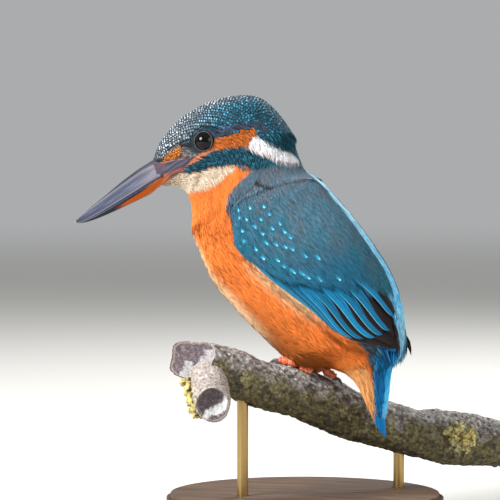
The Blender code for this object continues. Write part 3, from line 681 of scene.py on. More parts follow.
def plumage_at(place, angle):
    """The plumage at points of the body."""
    colours = palette("plumage")
    turn = np.abs(angle)
    twin = section_points(place, turn)
    spot = (place, np.degrees(turn), twin, ripple(twin, 2.6, 3) * 0.28)
    along, across = wing_shares(place, turn)
    left = np.sin(angle) >= 0
    side = np.where(left, *MIRROR)
    # Everything starts as the dusky mantle
    plumage = Plumage(len(place))
    dusky = colours.dusky * (1 - 0.35 * step_up(along, 0.35, 0.62)[:, None])
    plumage.lay(1.0, dusky, colours.mantle_teal, (3.2, 0.28, 0.6))
    plumage.coat = np.char.add("mantle_", side)
    below = lay_breast(plumage, colours, spot, np.char.add("breast_", side))
    azure = lay_back(plumage, colours, spot, below)
    head = lay_crown(plumage, colours, spot, below)
    lay_face(plumage, colours, spot, head)

    # The wing: its small feathers grow from a sheet of their own, and its long ones lie on dark bare skin
    inset = wing_inset(along, across)
    on_wing = (across < 0.97) & (along < 1.0)
    plumage.dark = on_wing * step_up(inset, 1.2, 2.6) * step_up(along, 0.2, 0.4)
    edge = 0.8 + np.where(left, 0.0, 3.6) * step_up(0.22 - along, 0, 0.1)
    plumage.bare = on_wing & (inset > edge) & ((along < 0.66) | (across < 0.9))
    rump = (across > 0.84) & (along > 0.7)
    plumage.lay(rump * 1.0, azure, colours.pale_azure, None, "back")
    return plumage


def lay_breast(plumage, colours, spot, coat):
    """Orange below its limit, pale in front and in painted shade below, with the pale tuft of the flank."""
    place, degrees, twin, wobble = spot
    limit = np.interp(place, ORANGE_PLACES, ORANGE_ANGLES) + wobble * 5
    below = step_up(limit - degrees, -1.5, 1.5)
    # Painted shade: the lower belly darker towards its underside
    low = (step_up(place, 7.4, 9.8) * step_up(85 - degrees, 0, 60))[:, None]
    front = step_up(34 + 14 * step_up(place, 7.2, 8.6) - degrees, 0, 26) * step_up(place, 6.0, 7.0)
    front = (front * step_up(9.9 - place, 0, 0.9))[:, None]
    streaks = 1 + 0.13 * ripple(twin * (1, 1, 0.45), 3.2, 33)[:, None]
    tint = colours.orange * (1 - 0.64 * low) * streaks * (1 - 0.7 * front) + BREAST_PALE * 0.6 * front
    tip = blend(colours.orange, BREAST_PALE, front) * (1.08 - 0.56 * low) * streaks
    length = 3.2 + 2.4 * step_up(place, 5.6, 8.5)
    length += 2.2 * step_up(place, 9.4, 10.4) * step_up(75 - degrees, 0, 40)
    fringe = step_up(place, 9.7, 10.3) * step_up(11.6 - place, 0, 0.6) * step_up(60 - degrees, 0, 30)
    rise = 0.3 + 0.35 * step_up(place, 5.6, 8) + 3.0 * fringe
    rise += 0.7 * step_up(20 - degrees, 0, 15) * step_up(place, 6, 7)
    plumage.lay(below, tint, tip, stacked(length, 0.25 + 0.05 * step_up(place, 5.5, 9), rise), coat)

    # Loose feathers of the mantle hang over the front of the wing
    loose = step_up(place, 5.5, 6.0) * step_up(7.3 - place, 0, 0.5)
    loose = loose * step_up(degrees, 66, 80) * step_up(150 - degrees, 0, 20) * (1 - below)
    plumage.size = blend(plumage.size, (4.4, 0.28, 1.3), loose)
    # The pale tuft of the flank: pale feathers, made paler still by painted light
    flank = step_up(place, 7.7, 8.4) * step_up(9.9 - place, 0, 0.9)
    flank = flank * step_up(degrees, limit - 24, limit - 8) * below * (0.75 + 0.25 * ripple(twin, 2.0, 41))
    plumage.lay(np.clip(flank * 1.2, 0, 1), (0.9, 0.52, 0.25), (0.98, 0.78, 0.54), (4.4, 0.36, 0.7))
    vent = step_up(place, 10.3, 11.3) * below * 0.8
    plumage.lay(vent, colours.deep_orange, colours.orange * 0.85, (5.0, 0.55, 1.0))
    return below


def lay_back(plumage, colours, spot, below):
    """Back stripe, rump and the coverts over the tail; then the coverts under it."""
    place, degrees, twin, wobble = spot
    stripe = np.interp(place, STRIPE_PLACES, STRIPE_ANGLES) + wobble * 3
    bright = step_up(degrees - (180 - stripe), -2, 2) * step_up(place, 5.95, 6.2)
    pale = step_up(9.8 - place, 0, 2.5) * (0.75 + 0.25 * ripple(twin * (1, 1, 0.3), 1.6, 51))
    azure = blend(colours.azure, colours.pale_azure, 0.85 * pale)
    rear = step_up(place, 8, 11)
    plumage.lay(bright, azure, colours.pale_azure, stacked(4.2 + 1.5 * rear, 0.5 + 0.2 * rear, 0.7), "back")
    # Coverts over the tail: tail blue, darker down their sides as painted shade and lighter towards the top,
    # with random tone
    deep = 0.55 + 0.7 * step_up(degrees, 112, 158) + 0.3 * ripple(twin, 1.4, 57)
    deep = colours.tail_blue * deep[:, None]
    plumage.lay(bright * step_up(place, 10.6, 11.2), deep, deep * (1.5, 1.6, 1.25))
    under = step_up(place, 11.2, 11.9) * step_up(98 - degrees, -3, 3)
    plumage.lay(under, (0.5, 0.22, 0.07), colours.pale_orange, (5.0, 0.45, 0.6), "undertail")
    shaded = (1 - 0.2 * ripple(twin * (1, 1, 0.3), 1.8, 63) * under)[:, None]
    plumage.tint *= shaded
    plumage.tip *= shaded
    return azure


def lay_crown(plumage, colours, spot, below):
    """Nape, and the ground and bars of the crown, which turn from grey to turquoise behind the forehead."""
    place, degrees, twin, _ = spot
    back, height = head_chart(twin)
    head = step_up(np.interp(degrees, HEAD_ANGLES, HEAD_PLACES) - place, -0.06, 0.06)
    over_nape = step_up(height - np.interp(back, *NAPE_LINE), -0.5, 0.5)
    above = head * (1 - below) * np.maximum(over_nape, place < 4.3)
    loose = step_up(place, 4.0, 5.2) * above * step_up(5.5 - place, 0, 0.4)
    size = stacked(2.2 + 2.2 * loose, 0.33 - 0.05 * loose, 0.4 + 0.9 * loose)
    nape_tip = colours.teal * (1.0 + 0.6 * ripple(twin, 3.0, 5)[:, None] ** 2)
    plumage.lay(above, colours.ground, nape_tip, (2.2, 0.33, 0.4), "nape")
    plumage.size = blend(plumage.size, size, above)
    crown = above * step_up(4.75 - place + 0.3 * step_up(degrees, 140, 170), -0.1, 0.1)
    behind = step_up(place - 1.3 * step_up(degrees, 135, 168), 1.5, 3.4)
    faint = np.clip(ripple(twin, 5.0, 15) * 0.35 + 0.9, 0.3, 1.1) * (1 - 0.45 * step_up(place, 3.2, 4.4))
    faint = faint * (1 + 0.4 * step_up(degrees, 135, 165) * step_up(4.4 - place, 0, 0.8))
    line = step_up(1.5 - distance_from_line(INDIGO, back, height), 0, 1)
    ground = blend(colours.brow, colours.ground, behind)
    bar = blend(colours.pale_bar, colours.blue_bar, behind)
    plumage.bar = blend(ground, bar, faint * (1 - 0.9 * line))
    ground = blend(ground, (0.035, 0.037, 0.062), line)
    plumage.lay(crown, ground, blend(ground, plumage.bar, 0.35), (1.8, 0.27, 0.3), "crown")
    return head


def lay_face(plumage, colours, spot, head):
    """The markings of the head's sides, the bare horn at the bill's root, and the bare ring of the eye."""
    place, _, twin, wobble = spot
    chart = back, height = head_chart(twin)

    def mark(outline, ragged, edge, tint, tip, size):
        mask = step_up(depth_inside(outline, *chart) + wobble * ragged, -edge, edge)
        plumage.lay(mask, tint, tip, size, "face")
        return mask

    throat = step_up(depth_inside(THROAT, *chart) + wobble, -0.7, 0.5) * head
    size = stacked(2.2 + 0.8 * step_up(back, -44, -34), 0.28, 0.4)
    plumage.lay(throat, colours.cream, np.minimum(colours.cream * 1.12, 1), size, "face")
    band_tip = colours.teal * (1.25 + 0.6 * ripple(twin, 2.0, 8)[:, None])
    mark(MALAR, 1, 0.35, colours.ground * 0.9, band_tip, (1.8, 0.32, 0.36))
    mark(EAR, 1, 0.35, colours.orange * 0.62, colours.orange, (2.0, 0.28, 0.38))
    white = mark(WHITE, 0.6, 0.3, colours.white * 0.93, colours.white, (2.8, 0.3, 0.5))
    buff = white * step_up(distance_from_line(WHITE[6:12], *chart), 1.4, 0.0) * 0.55
    plumage.lay(buff, colours.orange * 0.4, colours.cream * 0.8)
    mark(EYE_STRIPE, 0.5, 0.3, (0.035, 0.03, 0.036), (0.085, 0.075, 0.085), (1.1, 0.3, 0.2))
    mark(LORE_SPOT, 0.5, 0.3, (0.1, 0.1, 0.11), (0.32, 0.3, 0.3), (1.1, 0.3, 0.22))
    lore = mark(LORE, 1, 0.3, colours.orange * 0.6, (0.8, 0.34, 0.07), (1.5, 0.3, 0.75))
    corner = step_up(0.75 - distance_from_line(EYE_CORNER, *chart), -0.2, 0.2)
    plumage.lay(corner, (0.015, 0.014, 0.016), (0.03, 0.03, 0.035), (0.9, 0.28, 0.15), "face")
    gape = step_up(0.62 - distance_from_line(GAPE, *chart), -0.2, 0.25)
    plumage.lay(gape, (0.5, 0.14, 0.06), (0.78, 0.33, 0.18), (1.2, 0.26, 0.18), "face")
    plumage.horn = step_up(depth_inside(HORN, *chart), -0.25, 0.25)
    horn_tint = gape_tint(*chart, ripple(twin, 6.0, 61))
    plumage.lay(plumage.horn, horn_tint, horn_tint)

    to_eye = np.hypot(back - EYE_CENTRE[0], height - EYE_CENTRE[1])
    ring = step_up(EYE_RING - to_eye, 0, 0.6) * (1 - lore)
    plumage.lay(ring, plumage.tint * 0.45, plumage.tip * 0.6)
    plumage.coat = np.where((to_eye < EYE_TUFTS) & (plumage.coat == "crown"), "face", plumage.coat)
    plumage.size[to_eye < EYE_TUFTS, 1] = 0.28
    near_eye = step_up(to_eye, 3.4, 5.5)
    plumage.size[:, 0] *= 0.55 + 0.45 * near_eye
    plumage.size[:, 2] *= 0.5 + 0.5 * near_eye
    plumage.growth = (to_eye >= EYE_BARE) * (place > 0.03) * (place < 13.7) * (plumage.horn < 0.5) * 1.0


def gape_tint(back, height, waves):
    """Bare horn at the bill's root: slate over the mouth's line, red along it, and orange below it."""
    mouth = height - np.interp(back, *np.transpose(MOUTH_LINE))
    base = blend(BILL_BASE[1], BILL_BASE[2], step_up(-47.5 - back, 0.0, 4.0))
    base = blend(BILL_BASE[0], base, step_up(-mouth, -0.6, 0.8))
    streak = np.sin((0.857 * height - 0.515 * back) * 4.2 + 1.5 * waves) * step_up(back, -53, -49)
    base = base * (1 + 0.45 * streak[:, None])
    red = step_up(np.abs(mouth + 0.4), 0.8, 0.2) * (0.35 + 0.65 * step_up(back, -50, -45))
    base = blend(base, MOUTH_RED, red * 0.7)
    return blend(base, NOSTRIL_DARK, step_up(0.55 - distance_from_line(NOSTRIL, back, height), 0, 0.4))


def head_chart(twin):
    """Distance back along the head's axis and height, as the outlines of the head's markings count them."""
    return twin @ HEAD_AXIS, twin[:, 2]


def coat_depth(place, angle, along, across):
    """How deep the skin lies under the body's outer surface, in millimetres; over the wing it bulges."""
    degrees = np.degrees(np.abs(angle))
    depth = 0.42 + 0.25 * step_up(place, 3.4, 5.6) + 0.55 * step_up(place, 5.4, 8)
    depth -= 0.4 * step_up(place, 11.5, 13.6)
    depth += 0.25 * step_up(70 - degrees, 0, 40) * step_up(place, 6, 8)
    depth *= step_up(place, -0.3, 0.8)
    horn = depth_inside(HORN, *head_chart(section_points(place, np.abs(angle))))
    depth -= 0.32 * step_up(horn, -0.3, 0.4) * (place < 3)
    wing = wing_roll(along, across, -2.4, 1.2) * step_up((1 - across) * WING_WIDTH, -2.4, 1.2)
    back = step_up(degrees, 150, 156) * step_up(place, 6.0, 6.7) * step_up(10.0 - place, -0.7, 0.5)
    wing = np.maximum(wing, back)
    depth -= 0.8 * step_up(place, 5.3, 6.1) * step_up(7.3 - place, 0, 0.6) * step_up(degrees, 70, 90)
    return depth * (1 - wing) - (WING_LIFT - WING_COAT) * wing


# --- Skin ---

SKIN_RINGS = 250
SKIN_SIDES = 208


def skin_places():
    """Places of the skin's rings, closer together over the head."""
    share = np.linspace(0, 1, SKIN_RINGS)
    places = share * LAST_PLACE
    return np.interp(share, np.interp(places, (0, 6, LAST_PLACE), (0, 0.52, 1)), places)


def feather_surface(graph, pattern):
    """Vane with its two colours: graded to the tip, mottled from tuft to tuft, or barred."""
    vane, along, _ = graph.marks("vane")
    across = abs(vane)
    chance = graph.attribute("chance")
    if pattern == "graded":
        mask = along.ramp(0.35, 0.9) * (0.5 + 0.5 * chance)
    elif pattern == "mottled":
        mask = chance.ramp(0.25, 0.85) * (0.35 + 0.65 * along)
    else:
        broken = graph.noise(graph.place(), 900.0).ramp(0.36, 0.54, 0.15, 1.0)
        mask = along.ramp(0.62, 0.7) * along.ramp(0.82, 0.9, 1.0, 0.0) * across.ramp(0.6, 0.95, 1.0, 0.15)
        mask = mask * broken * (0.35 + 0.65 * chance)
    colour = graph.mix(mask, graph.colour("tint"), graph.colour("tip"))
    barbs = (along * 34 + across * 16).sine()
    # Darker towards the root: painted shade where the tufts overlap; the chance adds random tone
    shade = (0.74 + 0.46 * chance) * along.ramp(0.0, 0.5, 0.85, 1.0) * (1 + 0.06 * barbs)
    return {"Base Color": graph.shaded(colour, shade), "Roughness": 0.6, "Specular IOR Level": 0.12,
            "height": (0.35, 0.05 * MM, barbs)}


def skin_surface(graph):
    """Feathered skin between the tufts, dark and dull like the down at their roots."""
    speck = graph.noise(graph.place(), 1400.0)
    horn = graph.attribute("horn")
    shade = (0.68 + 0.35 * speck).most(horn * (0.7 + 0.5 * speck))
    return {"Base Color": graph.shaded(graph.colour("tint"), shade),
            "Roughness": 0.85 - 0.45 * horn, "Specular IOR Level": 0.25,
            "height": (0.5, 0.1 * MM, speck * (1 - 0.8 * horn))}


def make_skin():
    """One closed skin from bill root to tail, under the coat, with the plumage stored at its points."""
    angles = np.linspace(-math.pi, math.pi, SKIN_SIDES, False) + math.pi / SKIN_SIDES
    place, angle = (grid.ravel() for grid in np.meshgrid(skin_places(), angles, indexing="ij"))
    depth = coat_depth(place, angle, *wing_shares(place, np.abs(angle)))
    points, out, onward = body_surface(place, angle, -depth)
    ends = points[:SKIN_SIDES].mean(0), points[-SKIN_SIDES:].mean(0)
    mesh = mesh_from("skin", world(np.vstack([points, *ends])), tube_faces(SKIN_RINGS, SKIN_SIDES))

    lie = lie_of(place, angle, out, onward)
    reach = np.interp(place, (0, 5, 8), (1.3, 1.9, 3.0))
    plumage = plumage_at(*nearest_chart(place, angle, lie * reach[:, None], onward))
    own = plumage_at(place, angle)
    plumage.growth = np.where(own.bare, 0.0, np.minimum(plumage.growth, own.growth))
    umber = palette("plumage").umber
    plumage.lay(own.dark, umber, umber)
    plumage.lay(own.horn, own.tint, own.tint)
    plumage.horn = own.horn
    store_plumage(mesh, plumage, lie, out, place, angle)
    skin = new_object("skin", mesh)
    settle(skin, "breast_feathers", surface_material("down", skin_surface), *FLESH_NODES)


def lie_of(place, angle, out, onward):
    """The way that feathers point over the body: backwards, and on the flanks a little down and out."""
    side = np.sign(np.sin(angle))
    degrees = np.degrees(np.abs(angle))
    around = unit(np.cross(out, onward)) * side[:, None]
    sweep = 0.3 * step_up(place, 5.5, 7.5) * step_up(degrees, 8, 45) * step_up(80 - degrees, 0, 25)
    sweep *= step_up(11.2 - place, 0, 1.5)
    sweep -= 0.22 * step_up(place, 6.3, 7.2) * step_up(degrees, 95, 130) * step_up(9.8 - place, 0, 1)
    return unit(onward + around * sweep[:, None])


def nearest_chart(place, angle, move, onward):
    """Place and angle reached from a point of the body by a small move over it."""
    step = 0.02
    here = section_points(place, angle)
    ahead = norm(section_points(place + step, angle) - here, axis=1) / step
    beside = section_points(place, angle + step) - here
    turn = norm(beside, axis=1) / step
    new_place = np.clip(place + (move * onward).sum(1) / np.maximum(ahead, 0.5), 0, LAST_PLACE)
    new_angle = angle + (move * unit(beside)).sum(1) / np.maximum(turn, 1.0)
    same_side = (np.abs(new_angle) <= math.pi) & (np.sign(new_angle) == np.sign(angle))
    return new_place, np.where(same_side, new_angle, angle)


def store_plumage(mesh, plumage, lie, out, place, angle):
    """Writes the plumage to a mesh's points; the skin's two closing points take that of its ends."""
    stored = {
        "tint": plumage.tint, "tip": plumage.tip, "lie": lie, "out": out, "tuft_size": plumage.size * MM,
        "root_uv": skin_map(place, angle), "horn": plumage.horn,
        **{f"grow_{coat}": (plumage.coat == coat) * plumage.growth for coat in COATS},
    }
    for name, values in stored.items():
        if len(mesh.vertices) > len(place):
            values = np.concatenate([values, [values[:SKIN_SIDES].mean(0)], values[-1:]])
        put(mesh, name, values, name in ("tint", "tip"))


def skin_map(place, angle):
    """The skin unrolled: round the body across the map, from bill to tail up it."""
    across = 0.02 + 0.96 * (angle / (2 * math.pi) + 0.5)
    up = 0.02 + 0.96 * np.interp(place, (0, 6, LAST_PLACE), (0.0, 0.46, 1.0))
    return stacked(across, up, 0.0)


# --- Coats ---


def vane_mesh(name, stations, curl, ridge, notch=0.0):
    """A thin closed vane of unit length along +Y: stations are (share along, half width)."""
    points, marks, faces = [], [], []
    for along, half in stations:
        drop = -curl * along**2
        points += [(-half, along + notch * half, drop), (0, along - 0.04 * (along == 0), drop + ridge),
                   (half, along + notch * half, drop)]
        marks += [(-half * 2, along, 0), (0, along, 1), (half * 2, along, 0)]
    for low in range(0, len(points) - 3, 3):
        a, b, c, d, e, f = range(low, low + 6)
        faces += [(a, b, e, d), (b, c, f, e), (c, a, d, f)]
    a, b, c, tip = range(len(points) - 3, len(points) + 1)
    faces += [(a, b, tip), (b, c, tip), (c, a, tip), (2, 1, 0)]
    mesh = outward(mesh_from(name, [*points, (0, 1.0, -curl)], faces))
    put(mesh, "vane", [*marks, (0, 1.0, 1)])
    return mesh


# Vanes that are instanced: (stations, curl, ridge, notch)
VANES = {
    "barb": (((0.0, 0.34), (0.5, 0.5)), 0.14, 0.03),
    "scale": (((0.0, 0.22), (0.3, 0.44), (0.62, 0.5), (0.85, 0.42), (0.96, 0.22)), 0.1, 0.04, -0.1),
}
COAT_INPUTS = {
    "Geometry": "Geometry", "Vane": "Object", "Finish": "Material", "Ordered": "Bool", "Growth Map": "String",
    "Spacing": "Float", "Variation": "Float", "Sway": "Float", "Bake Patch": "Float", "Seed": "Int",
}


def coat_tree():
    """Instances a vane at each root, laid along the coat, and makes the result real."""
    tree = bpy.data.node_groups.new("Coat", "GeometryNodeTree")
    for name, kind in COAT_INPUTS.items():
        tree.interface.new_socket(name, in_out="INPUT", socket_type=f"NodeSocket{kind}")
    tree.interface.new_socket("Geometry", in_out="OUTPUT", socket_type="NodeSocketGeometry")
    graph = Graph(tree)
    given = graph.node("NodeGroupInput")
    inputs = map(given.output, COAT_INPUTS)
    skin, vane, finish, ordered, growth, spacing, variation, sway, patch, seed = inputs

    def step(kind, inputs, output=None, **settings):
        return graph.node(f"GeometryNode{kind}", settings, inputs, output)

    def named(name, kind="FLOAT_VECTOR"):
        return step("InputNamedAttribute", {"Name": name}, "Attribute", data_type=kind)

    def random(low, high, shift):
        inputs = {"Min": low, "Max": high, "Seed": seed + shift}
        return graph.node("FunctionNodeRandomValue", {"data_type": "FLOAT"}, inputs)

    spread = {"Mesh": skin, "Distance Min": spacing, "Density Max": 1.6 * (spacing**-2.0), "Seed": seed,
              "Density Factor": named(growth, "FLOAT")}
    roots = step("DistributePointsOnFaces", spread, "Points", distribute_method="POISSON")
    roots = step("Switch", {"Switch": ordered, "False": roots, "True": skin}, input_type="GEOMETRY")
    chance = {"Geometry": roots, "Name": "chance", "Value": random(0.0, 1.0, 1)}
    roots = step("StoreNamedAttribute", chance, data_type="FLOAT", domain="POINT")
    size, breadth, height = graph.split(named("tuft_size"))
    length = size * random(1 - variation, 1 + variation, 2)
    width = breadth * random(1 - variation * 0.5, 1 + variation * 0.5, 3)
    rise = height / size
    lie, out = named("lie"), named("out")
    aside = graph.scaled(graph.vector("CROSS_PRODUCT", out, lie), random(-1.0, 1.0, 4) * sway)
    upward = graph.scaled(out, rise * random(0.75, 1.2, 5))
    aim = graph.vector("ADD", graph.vector("ADD", lie, aside), upward)
    turned = graph.node("FunctionNodeAxesToRotation", {"primary_axis": "Y", "secondary_axis": "Z"},
                        {"Primary Axis": aim, "Secondary Axis": out})
    vanes = {"Points": roots, "Instance": step("ObjectInfo", {"Object": vane}, "Geometry"),
             "Rotation": turned, "Scale": graph.combine(width, length, length)}
    real = step("RealizeInstances", {"Geometry": step("InstanceOnPoints", vanes)})
    across, along, _ = graph.split(named("vane"))
    spot = graph.scaled(graph.combine(across * 0.5 + 0.5, along, 0.0), patch)
    mapped = {"Geometry": real, "Name": "OFBake", "Value": graph.vector("ADD", named("root_uv"), spot)}
    real = step("StoreNamedAttribute", mapped, data_type="FLOAT2", domain="CORNER")
    real = step("SetShadeSmooth", {"Geometry": real})
    real = step("SetMaterial", {"Geometry": real, "Material": finish})
    graph.node("NodeGroupOutput", None, {"Geometry": real})
    return tree


SOURCE_ATTRIBUTES = ("lie", "out", "tuft_size", "root_uv", "grow_wing", *(f"grow_{coat}" for coat in COATS))


def grow(name, source, vane, pattern, slot, *, growth="", spacing=1.0, sway=0.1, variation=0.25):
    """A coat piece: vanes on the roots of a source mesh, or spread over it where its growth map says."""
    settings = bpy.context.scene.kingfisher_plumage
    tree = bpy.data.node_groups.get("Coat") or coat_tree()
    material = surface_material(f"feather_{pattern}", feather_surface, pattern)
    template = new_object(f"vane_{vane}", vane_mesh(vane, *VANES[vane]))
    piece = new_object(name, source)
    coat = piece.modifiers.new("coat", "NODES")
    coat.node_group = tree
    values = {
        "Vane": template, "Finish": material, "Ordered": not growth, "Growth Map": growth,
        "Spacing": spacing * MM, "Variation": variation, "Sway": sway, "Bake Patch": settings.patch,
        "Seed": settings.seed + 17 * len(bpy.data.objects),
    }
    for item in tree.interface.items_tree:
        if item.name in values:
            coat[item.identifier] = values[item.name]
    bake(piece)
    bpy.data.objects.remove(template)
    for used in SOURCE_ATTRIBUTES:
        if used in piece.data.attributes:
            piece.data.attributes.remove(piece.data.attributes[used])
    settle(piece, slot)


def grow_coats():
    """The coats of the body, over the skin."""
    skin = bpy.data.objects["skin"]
    for coat, (spacing, pattern, sway, slot) in COATS.items():
        grow(f"coat_{coat}", skin.data.copy(), "barb", pattern, slot, growth=f"grow_{coat}", spacing=spacing,
             sway=sway)


def thinned(points, spacing):
    """Indices of points that keep a distance from all earlier ones that were kept."""
    kept = []
    for index, point in enumerate(points):
        if not kept or ((points[kept] - point) ** 2).sum(1).min() > spacing**2:
            kept.append(index)
    return np.array(kept)


def crown_roots(spacing, gap):
    """Places and angles of staggered rows over the head, a spacing apart and a gap apart within a row."""
    fine = np.linspace(0.05, 5.2, 500)
    lengths = lengths_along(section_points(fine, math.pi))
    found = []
    for number, place in enumerate(np.interp(np.arange(0, lengths[-1], spacing), lengths, fine)):
        turns = np.linspace(math.pi, 0.9, 400)
        girth = lengths_along(section_points(np.full(400, place), turns))
        for angle in np.interp(np.arange(gap * (0.5 * (number % 2)), girth[-1], gap), girth, turns):
            found += [(place, angle), (place, -angle)] if angle < math.pi - 0.01 else [(place, angle)]
    return np.array(found).T


def lengths_along(line):
    """Length from a line's start to each of its points."""
    return np.cumsum(np.r_[0, norm(np.diff(line, axis=0), axis=1)])


def grow_crown():
    """Small barred feathers in staggered rows over the crown."""
    place, angle = crown_roots(1.22, 1.2)
    place = place + 0.015 * np.sin(place * 91 + angle * 47)
    points, out, onward = body_surface(place, angle, -0.3)
    plumage = plumage_at(place, angle)
    covered = plumage_at(*nearest_chart(place, angle, onward * plumage.size[:, :1] * 0.8, onward))
    chosen = (plumage.coat == "crown") & (plumage.growth > 0.5) & np.isin(covered.coat, ("crown", "nape"))
    chosen = np.flatnonzero(chosen & (covered.growth > 0.5))
    chosen = chosen[thinned(points[chosen], 0.8)]
    plumage.tip = plumage.bar
    plumage.size = stacked(2.2 + 0.7 * step_up(place, 2, 4.5), 1.5, 0.26)
    for name in ("tint", "tip", "size", "coat", "growth", "horn"):
        setattr(plumage, name, getattr(plumage, name)[chosen])
    source = mesh_from("crown_scales", world(points[chosen]), [])
    store_plumage(source, plumage, onward[chosen], out[chosen], place[chosen], angle[chosen])
    grow("crown_scales", source, "scale", "barred", "crown_feathers", sway=0.09, variation=0.1)


def grow_wing(side):
    """The small feathers of a folded wing, with rows of bright spots, grown from a fine sheet over it."""
    colours = palette("plumage")
    mirror = MIRROR[side]
    rows, columns = 210, 104
    grid = np.meshgrid(np.linspace(-0.05, 0.68, rows), np.linspace(-0.08, 1.14, columns), indexing="ij")
    along, across = (values.ravel() for values in grid)

    def sheet(along):
        lift = 0.1 - 2.2 * (1 - wing_roll(along, across, -2.4, 1.6)) - 0.7 * step_up(across, 0.97, 1.14)
        return wing_surface(along, across, lift, mirror)

    points, out = sheet(along)
    lie = unit(sheet(along + 0.01)[0] - points)
    long = step_up(along, 0.26, 0.56)
    length = 2.4 + 2.6 * long
    tip = along + 0.85 * length / WING_LENGTH
    chart = stacked(tip * WING_LENGTH, across * WING_WIDTH, 0.0)
    rear = step_up(tip, 0.42, 0.64)
    low = step_up(0.35 - across, 0, 0.3)
    teal = 0.1 + 0.45 * step_up(tip, 0.0, 0.35) + 0.3 * (rear + low)
    teal = np.clip(teal + 0.2 * ripple(chart * (0.5, 1, 1), 2.2, 21), 0, 1)
    tint = blend(colours.dusky, colours.mantle_teal, teal) * (1.45 - 0.45 * step_up(tip, 0.3, 0.6))[:, None]
    blue = np.maximum(rear, low * 0.5) * step_up(0.95 - across, 0, 0.3)
    tint = blend(tint, colours.cerulean * 0.8, 0.65 * blue)
    tint = tint * (1 + 0.16 * ripple(chart * (0.35, 1, 1), 1.3, 23)[:, None])
    plumage = Plumage(len(along))
    size = stacked(length, 0.25 + 0.04 * long, 0.4 + 0.15 * long)
    plumage.lay(1.0, tint * 0.62, tint * 1.5, size)
    # Painted shade in the slit at the shoulder, on the left wing only
    if side == "left":
        slit_shade = step_up(distance_from_line(SHOULDER_SLIT_SHADE, chart[:, 0], chart[:, 1]), 0.9, 0.3)
        plumage.lay(slit_shade * 0.85, colours.umber, colours.umber)
    seen = stacked(along * WING_LENGTH + 0.45 * length, chart[:, 1] * 1.35)
    spots = np.array(SPOTS) * (WING_LENGTH, WING_WIDTH * 1.35)
    near = np.min([norm(seen - spot, axis=1) for spot in spots], 0)
    plumage.lay(step_up(2.2 - near, 0, 1.2) * 0.5, colours.mantle_teal * 0.6, colours.cerulean)
    plumage.lay(step_up(near, 0.9, 0.5) * 0.7, colours.azure * 0.6, (0.3, 0.75, 0.9))
    end = np.interp(across, COVERT_ACROSS, COVERT_ALONG) + 0.03 * ripple(chart * (0, 1, 0), 3.4, 71)
    plumage.growth = (along < end) * (wing_inset(along, across) > -1.6) * 1.0
    place, angle = wing_chart(along, across)
    source = mesh_from(f"coverts_{side}", world(points), band(rows, columns, closed=False))
    store_plumage(source, plumage, lie, out, np.clip(place, 0, LAST_PLACE), angle * mirror)
    put(source, "grow_wing", plumage.growth)
    grow(f"coverts_{side}", source, "barb", "graded", "wing_feathers", growth="grow_wing", spacing=0.29,
         sway=0.09, variation=0.14)

    along, across = np.array(SPOTS).T
    points, out = wing_surface(along - 0.006, across, 0.3, mirror)
    lie = unit(wing_surface(along + 0.006, across, 0.3, mirror)[0] - points)
    place, angle = wing_chart(along, across)
    plumage = Plumage(len(along))
    plumage.lay(1.0, (0.03, 0.38, 0.62), (0.32, 0.84, 0.96), (1.35, 0.8, 0.12))
    source = mesh_from(f"spots_{side}", world(points), [])
    store_plumage(source, plumage, lie, out, place, angle * mirror)
    grow(f"spots_{side}", source, "scale", "graded", "wing_feathers", sway=0.1, variation=0.2)


# --- Flight and tail feathers ---

# Where a long vane's points lie across its webs, and its thickness in millimetres
QUILL_STATIONS = np.array([-1.0, -0.88, -0.5, -0.07, 0.0, 0.07, 0.5, 1.0])
QUILL_THICKNESS = 0.12


def quill(name, middle, out, outer, inner, tilt, roundness):
    """A long vane along a middle line of points, with a shaft and two webs, rounded at its tip."""
    count = len(middle)
    share = np.linspace(0, 1, count)
    aside = unit(np.cross(out, unit(np.gradient(middle, axis=0))))
    rounding = 1 - np.clip((share - 1 + roundness) / roundness, 0, 1) ** 2.4
    width = np.minimum(1, 0.25 + share / 0.16) * np.sqrt(np.clip(rounding, 0, 1))
    rings = []
    marks = []
    for top in (1, -1):
        for station in QUILL_STATIONS[::top]:
            reach = station * np.where(station < 0, outer, inner) * np.maximum(width, 0.03)
            height = -tilt * reach - reach**2 / 40 + 0.1 * math.exp(-(station / 0.12) ** 2)
            height = height + top * QUILL_THICKNESS * (0.5 if abs(station) < 1 else 0.15)
            rings.append(middle + aside * reach[:, None] + out * height[:, None])
            marks.append(stacked(np.full(count, station), share, float(top)))
    mesh = closed_loft(name, world(np.moveaxis(np.array(rings), 0, 1)))
    marks = np.moveaxis(np.array(marks), 0, 1).reshape(-1, 3)
    put(mesh, "vane", np.vstack([marks, (0, 0, 1.0), (0, 1, 1.0)])[: len(mesh.vertices)])
    return mesh


def mirrored(mesh):
    """A mesh turned over to the bird's other side."""
    mesh.transform(Matrix.Diagonal((-1, 1, 1, 1)))
    mesh.flip_normals()


def joined(name, meshes):
    """One mesh from several, with their attributes."""
    objects = [new_object(f"{name}_{number}", mesh) for number, mesh in enumerate(meshes)]
    with bpy.context.temp_override(active_object=objects[0], selected_editable_objects=objects):
        bpy.ops.object.join()
    objects[0].name = name
    objects[0].data.name = name
    return objects[0]


def paint(mesh, tint, tip, chance):
    """One pair of colours and one chance for all of a vane."""
    for name, value in (("tint", tint), ("tip", tip), ("chance", chance)):
        put(mesh, name, np.full((len(mesh.vertices), *np.shape(value)), value), name != "chance")
    return mesh


